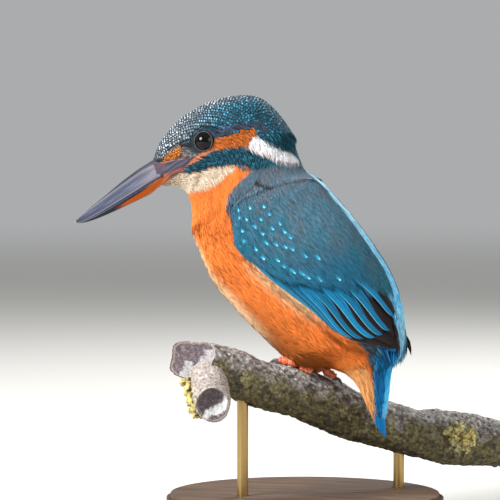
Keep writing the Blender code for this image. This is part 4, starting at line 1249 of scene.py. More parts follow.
def quill_surface(graph, umber, pale):
    """Long vane: one colour to each web, a dark shaft, a pale outer edge, and a dark underside."""
    vane, along, upper = graph.marks("vane")
    split = vane - along.ramp(0.35, 0.8, 0.55, 0.0)
    outer, inner = graph.colour("tint"), graph.colour("tip")
    colour = graph.mix(split.ramp(-0.08, 0.06), outer, inner)
    edge = vane.ramp(-0.99, -0.84, 1.0, 0.0) * along.ramp(0.3, 0.5) * along.ramp(0.92, 0.98, 1.0, 0.0)
    colour = graph.mix(edge * graph.attribute("chance").ramp(0.08, 0.12) * 0.8, colour, pale)
    colour = graph.mix(abs(vane).ramp(0.02, 0.07, 1.0, 0.0) * 0.75, colour, umber)
    colour = graph.mix(upper.ramp(-0.6, 0.0, 1.0, 0.0), colour, umber)
    barbs = (along * 260 + abs(vane) * 26).sine()
    soft = graph.noise(graph.place(), 900.0)
    # Darker towards the root: painted shade where the vanes overlap; the noise adds random tone
    shade = (0.72 + 0.55 * soft) * (1 + 0.07 * barbs) * along.ramp(0.25, 0.6, 0.65, 1.0)
    return {"Base Color": graph.shaded(colour, shade), "Roughness": 0.55, "Specular IOR Level": 0.08,
            "height": (0.4, 0.06 * MM, barbs)}


def make_flight_feathers(side):
    """The long feathers of one wing, each over the next outer one; the two outermost are its dark tip."""
    colours = palette("plumage")
    meshes = []
    share = np.linspace(0, 1, 26)
    for number, (root, tip, outer, inner, lift) in enumerate(FLIGHT_FEATHERS):
        dark = number < 2
        reach, curve = (0.04, 3.0) if side == "right" and dark else (0.0, 1.3)
        along = root[0] + (tip[0] + reach - root[0]) * share
        bow = 0.018 * np.sin(math.pi * share)
        across = root[1] + (tip[1] - root[1]) * share**1.15 - bow
        rise = curve * share**4 if dark else -0.45 * np.clip(1 - share / 0.5, 0, 1)
        middle, out = wing_surface(along, across, lift + rise)
        mesh = quill(f"quill_{side}_{number}", middle, out, outer, inner, 0.13, 0.22)
        if side == "right":
            mirrored(mesh)
        blue = colours.cerulean * (0.9 + 0.2 * math.sin(number * 2.4)) * (0.7 if number < 9 else 1.0)
        meshes.append(paint(mesh, colours.umber if dark else blue, colours.umber * 0.7, number / 14))
    material = surface_material("quill_wing", quill_surface, colours.umber, (0.2, 0.5, 0.6))
    settle(joined(f"flight_feathers_{side}", meshes), "flight_feathers", material)


TAIL_TOP = (27.0, 2.0)
TAIL_TIP = (28.5, -23.4)


def make_tail():
    """Twelve tail feathers, closed like a fan with the middle pair on top."""
    colours = palette("plumage")
    top, tip = (np.array([0.0, *place]) for place in (TAIL_TOP, TAIL_TIP))
    down = unit(tip - top)
    out = np.array([0.0, -down[2], down[1]])
    share = np.linspace(0, 1, 22)[:, None]
    meshes = []
    for number in range(6, 0, -1):
        for side in (1, -1):
            spread = number - 0.5
            start = top + (0.35 * spread, 0, 0)
            end = start + (tip - top) * (1.0 - 0.012 * spread**1.5) + (0.5 * spread, 0, 0)
            rise = 1.15 - 0.05 * spread**2 + (0.06 if side > 0 else 0.0)
            middle = start + (end - start) * share + out * rise
            ways = np.tile(unit(out + (0.09 * spread, 0, 0)), (len(share), 1))
            mesh = quill(f"rectrix_{number}_{side}", middle, ways, 1.6, 2.2, 0.05, 0.16)
            if side < 0:
                mirrored(mesh)
            blue = colours.tail_blue * (1 + 0.15 * (number % 2))
            meshes.append(paint(mesh, blue, blue * 0.85, number / 6))
    material = surface_material("quill_tail", quill_surface, colours.umber, colours.tail_blue * 1.6)
    settle(joined("tail_feathers", meshes), "flight_feathers", material, "tail")


# --- Bill, eyes and feet ---

BILL_SLOPE = math.radians(31.4)


def make_mandible(name, upper):
    """Upper or lower half of the bill, drawn out a little into the face, with a faint ridge and edge."""
    length = palette("horn").bill_length / MM
    forward = np.array([0, -math.cos(BILL_SLOPE), -math.sin(BILL_SLOPE)])
    upward = np.array([0, -math.sin(BILL_SLOPE), math.cos(BILL_SLOPE)])
    belly_y, belly_z, back_y, back_z = SECTIONS[0][:4]
    root = np.array([0, (belly_y + back_y) / 2, (belly_z + back_z) / 2]) + forward * 0.6
    tilt = math.atan2(back_y - belly_y, back_z - belly_z) + BILL_SLOPE
    turns = round_angles(48)
    bulge = np.clip(np.sin(turns) if upper else -np.sin(turns), 0, None) ** 1.15
    rings, marks = [], []
    for step in np.r_[-0.09, -0.04, np.linspace(0, 1, 44)]:
        inside, onward = max(0.0, -step), max(0.0, step)
        share = max(1 - onward**0.9, 0.012)
        tuck = 1 - (0.07 if upper else 0.16) * math.exp(-((onward / 0.07) ** 2))
        half_width = 4.3 * share**0.8 * (1.0 if upper else 0.96)
        half_width *= (1 + 2.0 * inside) * (1 + 0.2 * math.exp(-onward / 0.06))
        tomium = -2.2 * (1 - math.exp(-share / 0.13)) + (0.06 if upper else -0.06)
        far = 5.1 * share**0.62 if upper else -5.8 * share**0.47 * (1 - math.exp(-share / 0.05))
        far *= (1 - 2.5 * inside) * tuck
        pinch = 1 - (0.16 if upper else 0.1) * np.sin(math.pi * bulge) ** 2 * share**0.4
        height = tomium + (far - tomium) * bulge
        along = length * (1 - share) - np.tan(tilt) * height * share**6 - inside * length * 0.8
        ring = root + forward * along[:, None] + upward * height[:, None]
        ring[:, 0] += half_width * np.cos(turns) * pinch
        rings.append(ring)
        marks.append(stacked(bulge, 1 - share, np.abs(np.cos(turns))))
    mesh = closed_loft(name, world(about_neck(*np.moveaxis(rings, -1, 0), HEAD_YAW)))
    marks = np.vstack([np.array(marks).reshape(-1, 3), (0, 0, 0), (0, 1, 0)])
    put(mesh, "horn_place", marks[: len(mesh.vertices)])
    return new_object(name, mesh)


def bill_surface(graph, upper):
    """Slate horn with a painted sheen, a painted highlight along the ridge and a pale edge; the lower half is
    orange with a dark edge and tip.
    """
    colours = palette("horn")
    horn, along, aside = graph.marks("horn_place")
    streak = graph.noise(graph.combine(horn * 7.0, along * 2.2, aside), 2.0, 4.0)
    colour = graph.mix(streak.ramp(0.35, 0.7), colours.slate, colours.slate * 1.9)
    if upper:
        # Painted sheen: bluish highlights in streaks along the upper side, fainter towards the tip
        sheen = horn.ramp(0.12, 0.4) * horn.ramp(0.55, 0.85, 1.0, 0.0) * streak.ramp(0.35, 0.7, 0.15, 1.0)
        # Painted highlight along the ridge, towards the tip
        ridge = horn.ramp(0.95, 0.995) * along.ramp(0.3, 0.6)
        pale = horn.ramp(0.06, 0.12) * horn.ramp(0.14, 0.22, 1.0, 0.0)
        layers = (
            (sheen * along.ramp(0.75, 0.95, 0.55, 0.1), (0.095, 0.12, 0.215)),
            (ridge * 0.6, (0.42, 0.42, 0.48)),
            (pale * 0.5, (0.2, 0.18, 0.27)),
            (along.ramp(0.0, 0.3, 1.0, 0.0), BILL_BASE[0]),
        )
    else:
        red = graph.mix(streak, colours.bill_orange, colours.bill_orange * (0.7, 0.45, 0.6))
        far = along.ramp(0.4, 0.58, 1.0, 0.0) * (horn - 0.6 * along).ramp(0.02, 0.22)
        layers = (
            (far * horn.ramp(0.86, 0.99, 1.0, 0.1), red),
            (along.ramp(0.0, 0.2, 1.0, 0.0), BILL_BASE[2]),
        )
    for share, layer in (*layers, (along.ramp(0.965, 0.99) * 0.7, (0.42, 0.38, 0.34))):
        colour = graph.mix(share, colour, layer)
    return {"Base Color": colour, "Roughness": 0.3 + 0.2 * streak,
            "Specular IOR Level": 0.22 if upper else 0.1, "height": (0.25, 0.05 * MM, streak)}


def make_eye(side):
    """The eyeball with its clear cornea, and the lids round it."""
    radius = palette("horn").eye_radius
    low, high = (Vector(corner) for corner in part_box(f"eye_{side}"))
    forward = math.radians(16)
    look = Vector((MIRROR[side] * math.cos(forward), -math.sin(forward), 0.05))
    look = Matrix.Rotation(HEAD_YAW, 3, "Z") @ look
    turn = Vector((0, 0, 1)).rotation_difference(look.normalized()).to_matrix().to_4x4()
    set_in = Matrix.Translation((low + high) / 2) @ turn
    angles = round_angles(64)
    polars = np.linspace(0.02, math.pi - 0.02, 40)[:, None]
    rings = stacked(np.sin(polars) * np.cos(angles), np.sin(polars) * np.sin(angles), np.cos(polars))
    bulge = 1 + 0.05 * np.exp(-((polars / 0.55) ** 2))
    ball = closed_loft(f"eyeball_{side}", rings * radius * bulge[..., None])
    put(ball, "polar", [vertex.co.normalized().z for vertex in ball.vertices])
    ball.transform(set_in)
    material = surface_material("eye_horn", eye_surface)
    settle(new_object(f"eyeball_{side}", ball), "eye", material, f"eye_{side}")

    way = stacked(np.cos(angles), np.sin(angles), 0.0)
    polar = math.radians(56) + 0.03 * np.cos(2 * angles)[:, None]
    out = way * np.sin(polar) + np.array([0, 0, 1]) * np.cos(polar)
    across = unit(np.cross(out, np.cross(way, (0, 0, 1.0))))
    section = round_angles(12)[:, None]
    rings = out[:, None] * (radius + MM * (0.1 + 0.17 * np.cos(section)))
    rings = rings + across[:, None] * 0.23 * MM * np.sin(section)
    lid = outward(mesh_from(f"lids_{side}", rings.reshape(-1, 3), ring_faces(64, 12)))
    lid.transform(set_in)
    settle(new_object(f"lids_{side}", lid), "crown_feathers", surface_material("lids", lid_surface))


def ring_faces(rows, columns):
    """Quads of a ring of rings that closes on itself both ways."""
    last = (rows - 1) * columns
    closing = [(last + column, last + (column + 1) % columns, (column + 1) % columns, column)
               for column in range(columns)]
    return band(rows, columns) + closing


def eye_surface(graph):
    iris = palette("horn").iris
    colour = graph.mix(graph.noise(graph.place(), 1500.0), iris, iris * 2)
    colour = graph.mix(graph.attribute("polar").ramp(0.9, 0.915), colour, (0.001, 0.001, 0.001))
    return {"Base Color": colour, "Roughness": 0.3, "Specular IOR Level": 0.0, "Coat Weight": 0.45,
            "Coat Roughness": 0.02}


def lid_surface(graph):
    grain = graph.noise(graph.place(), 3000.0)
    colour = graph.mix(grain.ramp(0.4, 0.7), (0.01, 0.01, 0.012), (0.075, 0.072, 0.08))
    return {"Base Color": colour, "Roughness": 0.55, "height": (0.6, 0.1 * MM, grain)}


BRANCH_YAW = math.radians(40)
BRANCH_ENDS = (-44.5, 82.0)
BRANCH_LINE = (
    (5.7, 0.0, 7.3), (0.6, 0.4, 8.3), (-4.5, 0.0, 8.8), (-8.0, -0.5, 8.7), (-13.0, -0.7, 9.1),
    (-18.4, 0.1, 8.8), (-22.4, 0.8, 9.2), (-25.4, 0.9, 9.8), (-27.8, 0.4, 9.3), (-30.6, 0.0, 8.4),
)
CUT_SLANT = math.radians(38)
BRANCH_ASIDE = np.array([math.cos(BRANCH_YAW), math.sin(BRANCH_YAW), 0.0])
BRANCH_ALONG = np.array([-math.sin(BRANCH_YAW), math.cos(BRANCH_YAW), 0.0])


def branch_share(along):
    """Share of the branch's length at a distance along it from the grip, in millimetres."""
    return (along - BRANCH_ENDS[0]) / (BRANCH_ENDS[1] - BRANCH_ENDS[0])


def branch_centre(share):
    """Centre line of the branch at shares of its length, and its radius there."""
    share = np.asarray(share, float)
    up, aside, radius = np.moveaxis(smooth_line(BRANCH_LINE, share * (len(BRANCH_LINE) - 1)), -1, 0)
    along = BRANCH_ENDS[0] + (BRANCH_ENDS[1] - BRANCH_ENDS[0]) * share
    level = aside[..., None] * BRANCH_ASIDE + along[..., None] * BRANCH_ALONG
    return level + up[..., None] * np.array([0, 0, 1.0]), radius


def branch_surface(share, angle, lift=0.0):
    """Points on the branch, the angle counted from its top by the bird's left, and the way out."""
    share, angle = np.broadcast_arrays(np.asarray(share, float), np.asarray(angle, float))
    low = np.clip(share, 0, 0.99)
    centre, radius = branch_centre(share)
    tangent = unit(branch_centre(low + 0.01)[0] - branch_centre(low)[0])
    up = np.cross(BRANCH_ASIDE, tangent)
    bumps = 0.035 * np.sin(3 * angle + 9 * share) + 0.03 * np.sin(2 * angle - 14 * share + 1.1)
    bumps += 0.025 * np.sin(21 * share + angle)
    bumps += 0.11 * np.cos(4 * angle + 3.74) * np.clip(1 - share / 0.07, 0, None)
    bumps -= 0.17 * np.exp(-(((share - 0.7) / 0.045) ** 2)) * np.clip(np.cos(angle - 0.3), 0, None)
    reach = radius * (1 + bumps) + lift
    slant = math.tan(CUT_SLANT) * reach * np.sin(angle) * np.clip(1 - share / 0.16, 0, None)
    out = up * np.cos(angle)[..., None] + BRANCH_ASIDE * np.sin(angle)[..., None]
    return centre + out * reach[..., None] + tangent * slant[..., None], out


TOES = {"inner": (24, 5.4), "middle": (4, 7.3), "outer": (-11, 6.9), "hind": (180, 4.8)}
FEET = {"left": (-5.6, math.radians(10)), "right": (3.6, math.radians(2))}
FOOT_RISE = 3.4


def tube(name, points, radii, sides=16):
    """A closed tube through points with a radius at each."""
    onward = unit(np.gradient(points, axis=0))
    side = unit(np.cross(onward, np.array([0.13, 0.09, 1.0])))
    top = np.cross(side, onward)
    turns = round_angles(sides)[:, None, None]
    rings = points + (side * np.cos(turns) + top * np.sin(turns)) * np.asarray(radii)[:, None]
    return closed_loft(name, world(np.moveaxis(rings, 0, 1)))


def scaly_tube(name, points, radii, reach):
    """A tube of scaly skin, which carries how far along it each point lies, up to reach."""
    mesh = tube(name, points, radii)
    along = np.repeat(np.linspace(0, reach, len(points)), 16)
    put(mesh, "scute", np.r_[along, 0, reach][: len(mesh.vertices)])
    return mesh


def make_foot(side):
    """Four scaly toes gripping the branch, the short leg above them, and the claws."""
    along, around = FEET[side]
    radius = float(branch_centre(branch_share(along))[1])

    def on_branch(distance, heading, lift):
        share = branch_share(along - distance * math.cos(heading))
        return branch_surface(share, around - distance * math.sin(heading) / radius, lift)[0]

    meshes = []
    claw_horn = surface_material("claw_horn", claw_surface)
    for toe, (spread, length) in TOES.items():
        heading = BRANCH_YAW + math.radians(spread) * (MIRROR[side] if toe != "hind" else 1)
        share = np.linspace(0, 1, 34)
        lift = 1.75 + (FOOT_RISE - 1.75) * np.clip(1 - share / 0.4, 0, None) ** 1.5
        thick = 1.6 * (1.1 - 0.32 * share + 0.09 * np.cos(share * 6 * math.pi))
        thick = thick + 0.05 * np.sin(share * length * 2 * math.pi / 0.75)
        thick[-3:] *= (0.95, 0.8, 0.5)
        meshes.append(scaly_tube(f"toe_{toe}", on_branch(length * share, heading, lift), thick, length))
        share = np.linspace(0, 1, 16)
        arch = 0.9 * np.sin(math.pi * np.minimum(1, share * 1.1)) - 0.25 * share
        line = on_branch(length - 0.5 + 4.2 * share, heading, 0.85 + arch)
        claw = tube(f"claw_{side}_{toe}", line, 0.85 * (1 - share) ** 0.8 + 0.06, 12)
        settle(new_object(f"horn_{side}_{toe}", claw), "claw", claw_horn, f"claw_{side}_{toe}")
    joint = on_branch(0.0, 0.0, FOOT_RISE)
    share = np.linspace(0, 1, 14)
    shin = joint + np.array([0, 0.5, 7.5]) * share[:, None]
    girth = 1.5 * (0.92 + 0.28 * share + 0.12 * np.exp(-((share / 0.15) ** 2)))
    meshes.append(scaly_tube("leg", shin, girth, 7.5))
    round_end = np.linspace(-1, 1, 9)
    pad = joint + 1.5 * round_end[:, None] * np.array([0, 0.2, 1.0])
    pad = tube("pad", pad, 1.75 * np.sqrt(1 - (0.97 * round_end) ** 2))
    put(pad, "scute", np.linspace(0, 3, len(pad.vertices)))
    toes = joined(f"toes_{side}", [*meshes, pad])
    settle(toes, "foot_red", surface_material("foot_skin", foot_surface), f"foot_{side}", f"leg_{side}")


def foot_surface(graph):
    coral = palette("horn").coral
    place = graph.place()
    cells = {"Vector": place, "Scale": 1300.0}
    cells = graph.node("ShaderNodeTexVoronoi", {"feature": "DISTANCE_TO_EDGE"}, cells)
    scute = (graph.attribute("scute") * 8.4).sine()
    seams = cells.ramp(0.0, 0.08, 0.6, 1.0) * scute.ramp(-1.0, -0.6, 0.3, 1.0)
    colour = graph.mix(graph.noise(place, 500.0).ramp(0.35, 0.7), coral, (0.8, 0.24, 0.1))
    colour = graph.mix(seams, coral * 0.3, colour)
    return {"Base Color": colour, "Roughness": 0.42, "height": (0.6, 0.12 * MM, seams)}


def claw_surface(graph):
    claw = palette("horn").claw
    return {"Base Color": graph.mix(graph.noise(graph.place(), 1200.0), claw, claw * 3), "Roughness": 0.3}


# --- Perch and stand ---

# Patches of lichen, as centres in millimetres round the grip with radii
LICHEN = (((35.0, -30.0, -6.0), 3.5), ((38.0, -29.0, -10.0), 3.0), ((-31.0, 51.5, -25.0), 6.5))
# Lobes of lichen stand out from the bark along lines from one point to another: (start, end, spread, count)
LOBES = (((30.4, -36.2, -1.5), (36.2, -30.2, -13.5), 1.4, 76),
         ((-27.0, 48.0, -24.0), (-31.0, 55.5, -26.0), 3.4, 60))
# The side of the cut ends that is bleached, and the shares of their radius where the caps' rings lie
PALE_SIDE = np.array([-0.16, 0.58, -0.8])
CAP_RINGS = (0.06, 0.14, 0.22, 0.3, 0.38, 0.46, 0.54, 0.62, 0.7, 0.78, 0.84, 0.89, 0.93, 0.96)


def fractal(points, size, octaves=4, seed=0.0):
    """Fractal noise at points in millimetres, about -1 to 1."""
    shift = Vector((seed, seed * 0.7, -seed))
    return np.array([noise.fractal(Vector(point) / size + shift, 0.9, 2.1, octaves) for point in points])


def lichen_mask(points):
    """Where lichen grows: on the stub's outer side, and in a patch on the branch behind the bird."""
    ragged = 3.0 * fractal(points, 2.6, 3, 81.0)
    spread = [radius - norm(points - centre, axis=1) + ragged for centre, radius in LICHEN]
    return step_up(np.max(spread, axis=0), 0.0, 0.8)


def bark_relief(points, quiet):
    """Height of the bark in millimetres: lumps, furrows and grit, less of them where it is quiet."""
    furrow = palette("perch").furrow / MM
    lumps = fractal(points, 7.0, 2, 3.0) * 0.55
    grit = fractal(points, 1.5, 4, 9.0) * 0.3
    cracks = np.abs(fractal(points, 3.2, 3, 5.0))
    lumps = lumps + 0.9 * lichen_mask(points) * (0.5 + fractal(points, 1.6, 2, 71.0))
    furrows = furrow * np.clip(0.18 - cracks, 0, None) * 4
    return (lumps * (1 - 0.7 * quiet) + grit - furrows) * (1 - 0.45 * quiet)


def bark_tint(points, out):
    """Colour of the bark: paler grey above as painted light, mossy below, with dark patches, more of them lower
    down as painted shade, and pale ones.
    """
    colours = palette("perch")
    up = out[:, 2]
    patch = fractal(points, 6.0, 4, 21.0)
    fine = fractal(points, 1.3, 3, 31.0)
    colour = blend(colours.bark, colours.moss, step_up(-up + 0.6 * patch + 0.38, -0.25, 0.45))
    # Paler grey where the bark faces up: painted light from above
    colour = blend(colour, (0.46, 0.44, 0.41), step_up(up + 0.4 * fine, 0.45, 1.0) * 0.6)
    # Dark patches, more of them lower down as painted shade
    dark = step_up(fractal(points, 3.0, 4, 41.0) - 0.2 * up, 0.1, 0.45)
    colour = blend(colour, colours.crevice, dark * 0.75)
    fine = fine[:, None]
    colour = blend(colour, colours.lichen * (1 + 0.6 * fine), lichen_mask(points) * 0.85)
    return colour * np.clip(0.85 + 0.75 * fine, 0.2, 1.8)


def bark_surface(graph):
    """Bark with grit, and weathered end grain with rings and cracks."""
    place = graph.place()
    tint = graph.colour("tint")
    grit = graph.noise(place, 1500.0, 5.0, 0.65)
    speck = graph.noise(place, 600.0, 4.0, 0.6)
    bark = graph.shaded(tint, grit.ramp(0.3, 0.72, 0.45, 1.45))
    bark = graph.mix(speck.ramp(0.6, 0.68) * 0.7, bark, palette("perch").crevice)
    cut = graph.attribute("cut")
    reach = graph.attribute("cut_share")
    rings = (reach * 46.0 + speck * 22.0).sine()
    wood = graph.shaded(tint, (0.45 + 1.1 * speck) * rings.ramp(-0.2, 0.9, 1.0, 0.72))
    wood = graph.mix(reach.ramp(0.88, 0.94) * 0.8, wood, (0.44, 0.35, 0.28))
    return {"Base Color": graph.mix(cut, bark, wood), "Roughness": 0.88,
            "height": (0.8, 0.35 * MM, grit + 0.3 * rings * cut)}


def bark_tube(name, rings, outs, dish, bleach, paler=0.0):
    """A closed bark tube with its first end cut: the cap sinks by dish and carries the end grain."""
    rows, sides = rings.shape[:2]
    rim = rings[0]
    middle = rim.mean(0)
    inward = unit(rings[3].mean(0) - middle)
    caps = []
    for share in CAP_RINGS:
        ring = middle + (rim - middle) * share
        rough = fractal(ring, 2.5, 4, 51.0) * 0.7 + fractal(ring, 0.9, 2, 61.0) * 0.3
        caps.append(ring + inward * (dish * (1 - share**3) + rough * 0.8 * (1 - share**6))[:, None])
    faces = np.concatenate(caps)
    rings = np.concatenate([caps, rings])
    mesh = closed_loft(name, world(rings))
    outs = np.concatenate([np.tile(-inward, (len(caps), sides, 1)), outs])
    tint = bark_tint(rings.reshape(-1, 3), outs.reshape(-1, 3))
    reach = (faces - middle) @ PALE_SIDE / norm(rim - middle, axis=1).mean()
    reach = reach + 0.35 * fractal(faces, 3.0, 3, 91.0)
    pale = (bleach * step_up(reach, 0.06, 0.2) * step_up(0.66 - reach, 0, 0.14))[:, None]
    cracked = np.clip(0.45 + 1.5 * np.abs(fractal(faces, 1.8, 4, 95.0)), 0, 1.2)[:, None]
    bleached = 0.8 * (0.6 + 0.4 * np.clip(cracked, 0, 1))
    tint[: len(faces)] = palette("perch").cut_wood * cracked * (1 - pale) + bleached * pale
    ends = len(mesh.vertices) - len(tint)
    tint = np.clip(np.vstack([tint, tint[:ends]]), 0, 1)
    tint[len(faces):] = blend(tint[len(faces):], STUB_PALE, paler)
    shares = np.repeat(CAP_RINGS, sides)
    bark = np.zeros(rows * sides)
    put(mesh, "tint", tint, colour=True)
    put(mesh, "cut", np.r_[np.where(shares < 0.93, 1.0, 0.4), bark, 1.0, np.zeros(ends - 1)])
    put(mesh, "cut_share", np.r_[shares, bark, np.zeros(ends)])
    return new_object(name, mesh)


def make_perch():
    """The branch, whose bark is smoother round the feet."""
    share, angle = np.meshgrid(np.linspace(0, 1, 250), round_angles(150), indexing="ij")
    points, out = branch_surface(share, angle)
    quiet = np.exp(-((norm(points, axis=-1) / 11) ** 2)) * (out[..., 2] > 0)
    relief = bark_relief(points.reshape(-1, 3), quiet.ravel()).reshape(share.shape)
    piece = bark_tube("bark", points + out * relief[..., None], out, 1.6, 0.4)
    settle(piece, "bark", surface_material("bark_surface", bark_surface), "perch")


def make_lichen():
    """Small rough lobes in two clumps."""
    rng = np.random.default_rng(7)
    noise.seed_set(7)
    made = bmesh.new()
    for start, end, spread, count in LOBES:
        start, end = np.array(start), np.array(end)
        for share in rng.uniform(0, 1, count):
            centre = world(start + (end - start) * share + rng.normal(size=3) * spread * 0.5)
            shape = Matrix.Translation(centre) @ Matrix.Rotation(rng.uniform(0, 6.3), 4, "Z")
            shape = shape @ Matrix.Diagonal((*(rng.uniform(0.5, 1.3, 3) * MM), 1))
            bmesh.ops.create_icosphere(made, subdivisions=2, radius=1.0, matrix=shape)
    for vertex in made.verts:
        vertex.co += Vector(noise.noise_vector(vertex.co / (1.1 * MM))) * 0.35 * MM
    mesh = bpy.data.meshes.new("lichen")
    made.to_mesh(mesh)
    made.free()
    mesh.shade_smooth()
    settle(new_object("lichen", mesh), "bark", surface_material("lichen", lichen_surface))


def lichen_surface(graph):
    soft = graph.noise(graph.place(), 700.0)
    pale = palette("perch").lichen
    colour = graph.mix(soft.ramp(0.35, 0.65), pale * (0.42, 0.38, 0.26), pale * (1.4, 1.25, 0.9))
    return {"Base Color": colour, "Roughness": 0.9, "height": (0.6, 0.2 * MM, soft)}


# The stub: where it leaves the branch and its length, in millimetres, its heading, dip and cut, and its bark
STUB_START = -37.5
STUB_LENGTH = 19.5
STUB_HEADING = math.radians(19.5)
STUB_DIP = math.radians(40)
STUB_SLANT = math.radians(25)
STUB_PALE = np.array((0.38, 0.32, 0.29)) * 1.15


def make_stub():
    """The cut side branch, wrinkled and paler than the branch."""
    start = branch_centre(branch_share(STUB_START))[0]
    level = np.array([math.cos(STUB_HEADING), math.sin(STUB_HEADING), 0.0])
    aim = level * math.cos(STUB_DIP) - np.array([0, 0, math.sin(STUB_DIP)])
    across = np.cross((0, 0, 1.0), level)
    up = np.cross(aim, across)
    share, turns = np.meshgrid(np.linspace(1, 0.05, 90), round_angles(120), indexing="ij")
    radius = 6.0 + 0.4 * (1 - share) ** 1.3 + 0.3 * np.exp(-(((share - 0.85) / 0.1) ** 2))
    radius -= 0.4 * step_up(share, 0.97, 1.0)
    radius *= 1 + 0.04 * np.sin(2 * turns + 3 * share)
    out = across * np.cos(turns)[..., None] + up * np.sin(turns)[..., None]
    slant = math.tan(STUB_SLANT) * share**3 * np.sin(turns) * radius
    points = start + aim * (STUB_LENGTH * share - slant)[..., None] + out * radius[..., None]
    points = points + np.array([0.35, -1.3, -2.0]) * ((1 - share) ** 1.4)[..., None]
    relief = bark_relief(points.reshape(-1, 3), np.zeros(share.size)).reshape(share.shape)
    wrinkles = 0.25 * np.sin(share * 46 + 1.2 * np.sin(turns * 2)) * step_up(share, 0.3, 0.5)
    points = points + out * (relief * 0.45 + wrinkles)[..., None]
    piece = bark_tube("stub", points, out, 2.2, 1.0, 0.6)
    settle(piece, "bark", surface_material("bark_surface", bark_surface), "perch_stub")


def wood_surface(graph):
    """Stained wood, with its rings and pores along Y."""
    wood = palette("perch").wood
    place = graph.place()
    rings = graph.noise(graph.vector("MULTIPLY", place, (1.0, 0.09, 1.0)), 420.0, 4.0)
    pores = graph.noise(graph.vector("MULTIPLY", place, (1.0, 0.04, 1.0)), 2400.0)
    colour = graph.mix(rings.ramp(0.35, 0.65), wood, wood * 2.1)
    colour = graph.mix(pores.ramp(0.58, 0.72) * 0.6, colour, wood * 0.4)
    return {"Base Color": colour, "Roughness": 0.6, "Specular IOR Level": 0.2}


def brass_surface(graph):
    brushed = graph.noise(graph.vector("MULTIPLY", graph.place(), (1.0, 1.0, 0.03)), 3000.0)
    return {"Base Color": palette("perch").brass, "Metallic": 1.0, "Roughness": 0.28 + 0.12 * brushed}


def finish_stand():
    """Stained wood and brushed brass for the base and rods."""
    wood = surface_material("wood", wood_surface)
    brass = surface_material("brass", brass_surface)
    for name, material in (("stand_base", wood), ("stand_rod_front", brass), ("stand_rod_back", brass)):
        for material_slot in frame["nodes"][name].material_slots:
            material_slot.material = material


# --- Studio ---

# Rings of the floor, as (radius, height) in metres
FLOOR_RINGS = ((6.0, -0.02), (6.0, 0.0), (3.0, 0.0))


def aimed(name, data, location, way):
    """A camera or light at a location, looking along a way."""
    made = new_object(name, data)
    made.location = location
    made.rotation_euler = way.to_track_quat("-Z", "Y").to_euler()
    return made


def make_studio():
    """A camera at the side of the bird, soft lights round it, and a floor that fades out far from it."""
    settings = bpy.context.scene.kingfisher_studio
    scene = bpy.context.scene
    a, e = settings.azimuth, settings.elevation
    right = Vector((math.cos(a), math.sin(a), 0))
    back = Vector((math.sin(a) * math.cos(e), -math.cos(a) * math.cos(e), math.sin(e)))
    target = right * -0.0198 + Vector((0, 0, GRIP_HEIGHT + 0.0439))
    camera = bpy.data.cameras.new("camera")
    camera.lens = 200
    camera.sensor_width = 36
    scene.camera = aimed("camera", camera, target + back * settings.distance, -back)
    surround = bpy.data.worlds.new("surround")
    surround.use_nodes = True
    background = surround.node_tree.nodes["Background"]
    background.inputs["Color"].default_value = (*settings.sky, 1)
    background.inputs["Strength"].default_value = 0.55
    scene.world = surround
    scene.view_settings.view_transform = "Standard"
    for name, offset, size, energy in (
        ("key", -right * 0.8 + back * 0.55 + Vector((0, 0, 0.6)), 0.6, 30.0),
        ("fill", right * 0.9 + back * 0.5 + Vector((0, 0, 0.35)), 0.8, 5.0),
        ("rim", right * 0.45 - back * 0.7 + Vector((0, 0, 0.7)), 0.4, 8.0),
    ):
        light = bpy.data.lights.new(name, "AREA")
        light.shape = "DISK"
        light.size = size
        light.energy = energy
        aimed(name, light, target + offset, -offset)
    turns = round_angles(96)
    rings = [stacked(reach * np.cos(turns), reach * np.sin(turns), height) for reach, height in FLOOR_RINGS]
    floor = new_object("floor", closed_loft("floor", rings, smooth=False))
    floor.data.materials.append(surface_material("floor", floor_surface))


def floor_surface(graph):
    reach = graph.vector("LENGTH", graph.place(), output="Value")
    return {"Base Color": palette("studio").floor, "Roughness": 0.9, "Alpha": reach.ramp(0.25, 4.5, 1.0, 0.0)}


# --- Operators ---


class KINGFISHER_OT_skin(bpy.types.Operator):
    """Make the skin that lies under the coat"""

    bl_idname = "kingfisher.skin"
    bl_label = "Skin"

    def execute(self, context):
        make_skin()
        return {"FINISHED"}


class KINGFISHER_OT_coats(bpy.types.Operator):
    """Grow the coats of tufts over the skin"""

    bl_idname = "kingfisher.coats"
    bl_label = "Coats"

    def execute(self, context):
        grow_coats()
        grow_crown()
        for side in MIRROR:
            grow_wing(side)
        return {"FINISHED"}


class KINGFISHER_OT_flight_feathers(bpy.types.Operator):
    """Lay the long feathers of the wings and the tail"""

    bl_idname = "kingfisher.flight_feathers"
    bl_label = "Flight Feathers"

    def execute(self, context):
        for side in MIRROR:
            make_flight_feathers(side)
        make_tail()
        return {"FINISHED"}


class KINGFISHER_OT_bill(bpy.types.Operator):
    """Make both halves of the bill"""

    bl_idname = "kingfisher.bill"
    bl_label = "Bill"

    def execute(self, context):
        for half, slot in (("upper", "bill_black"), ("lower", "bill_orange")):
            upper = half == "upper"
            piece = make_mandible(f"mandible_{half}", upper)
            settle(piece, slot, surface_material(f"horn_{half}", bill_surface, upper), f"bill_{half}")
        return {"FINISHED"}


class KINGFISHER_OT_eyes(bpy.types.Operator):
    """Make the eyeballs and the lids round them"""

    bl_idname = "kingfisher.eyes"
    bl_label = "Eyes"

    def execute(self, context):
        for side in MIRROR:
            make_eye(side)
        return {"FINISHED"}


class KINGFISHER_OT_feet(bpy.types.Operator):
    """Make the toes, legs and claws"""

    bl_idname = "kingfisher.feet"
    bl_label = "Feet"

    def execute(self, context):
        for side in MIRROR:
            make_foot(side)
        return {"FINISHED"}


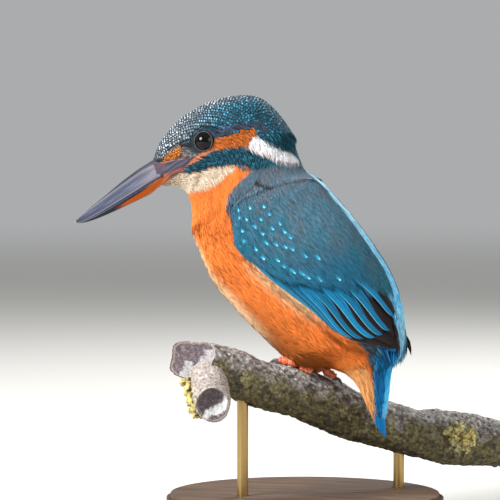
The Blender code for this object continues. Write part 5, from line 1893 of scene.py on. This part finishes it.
class KINGFISHER_OT_perch(bpy.types.Operator):
    """Make the cut branch with its stub, and finish the stand"""

    bl_idname = "kingfisher.perch"
    bl_label = "Perch and Stand"

    def execute(self, context):
        make_perch()
        make_stub()
        make_lichen()
        finish_stand()
        return {"FINISHED"}


class KINGFISHER_OT_studio(bpy.types.Operator):
    """Set up the floor, the lights and the camera"""

    bl_idname = "kingfisher.studio"
    bl_label = "Studio"

    def execute(self, context):
        make_studio()
        return {"FINISHED"}


PROPERTY_GROUPS = {
    "kingfisher_plumage": PlumageSettings,
    "kingfisher_horn": HornSettings,
    "kingfisher_perch": PerchSettings,
    "kingfisher_studio": StudioSettings,
}
OPERATORS = (
    KINGFISHER_OT_studio, KINGFISHER_OT_perch, KINGFISHER_OT_feet, KINGFISHER_OT_bill, KINGFISHER_OT_eyes,
    KINGFISHER_OT_skin, KINGFISHER_OT_coats, KINGFISHER_OT_flight_feathers,
)


class KINGFISHER_PT_panel(bpy.types.Panel):
    bl_idname = "KINGFISHER_PT_panel"
    bl_label = "Museum Kingfisher"
    bl_space_type = "VIEW_3D"
    bl_region_type = "UI"
    bl_category = "Kingfisher"

    def draw(self, context):
        for group in PROPERTY_GROUPS:
            settings = getattr(context.scene, group)
            box = self.layout.box()
            for name in settings.__annotations__:
                box.prop(settings, name)
        for operator in OPERATORS:
            self.layout.operator(operator.bl_idname)


def register():
    for group, cls in PROPERTY_GROUPS.items():
        bpy.utils.register_class(cls)
        setattr(bpy.types.Scene, group, PointerProperty(type=cls))
    for cls in (*OPERATORS, KINGFISHER_PT_panel):
        bpy.utils.register_class(cls)


def unregister():
    for cls in (KINGFISHER_PT_panel, *reversed(OPERATORS)):
        bpy.utils.unregister_class(cls)
    for group, cls in PROPERTY_GROUPS.items():
        delattr(bpy.types.Scene, group)
        bpy.utils.unregister_class(cls)


def main():
    register()
    for operator in OPERATORS:
        family, name = operator.bl_idname.split(".")
        getattr(getattr(bpy.ops, family), name)()


if __name__ == "__main__":
    main()
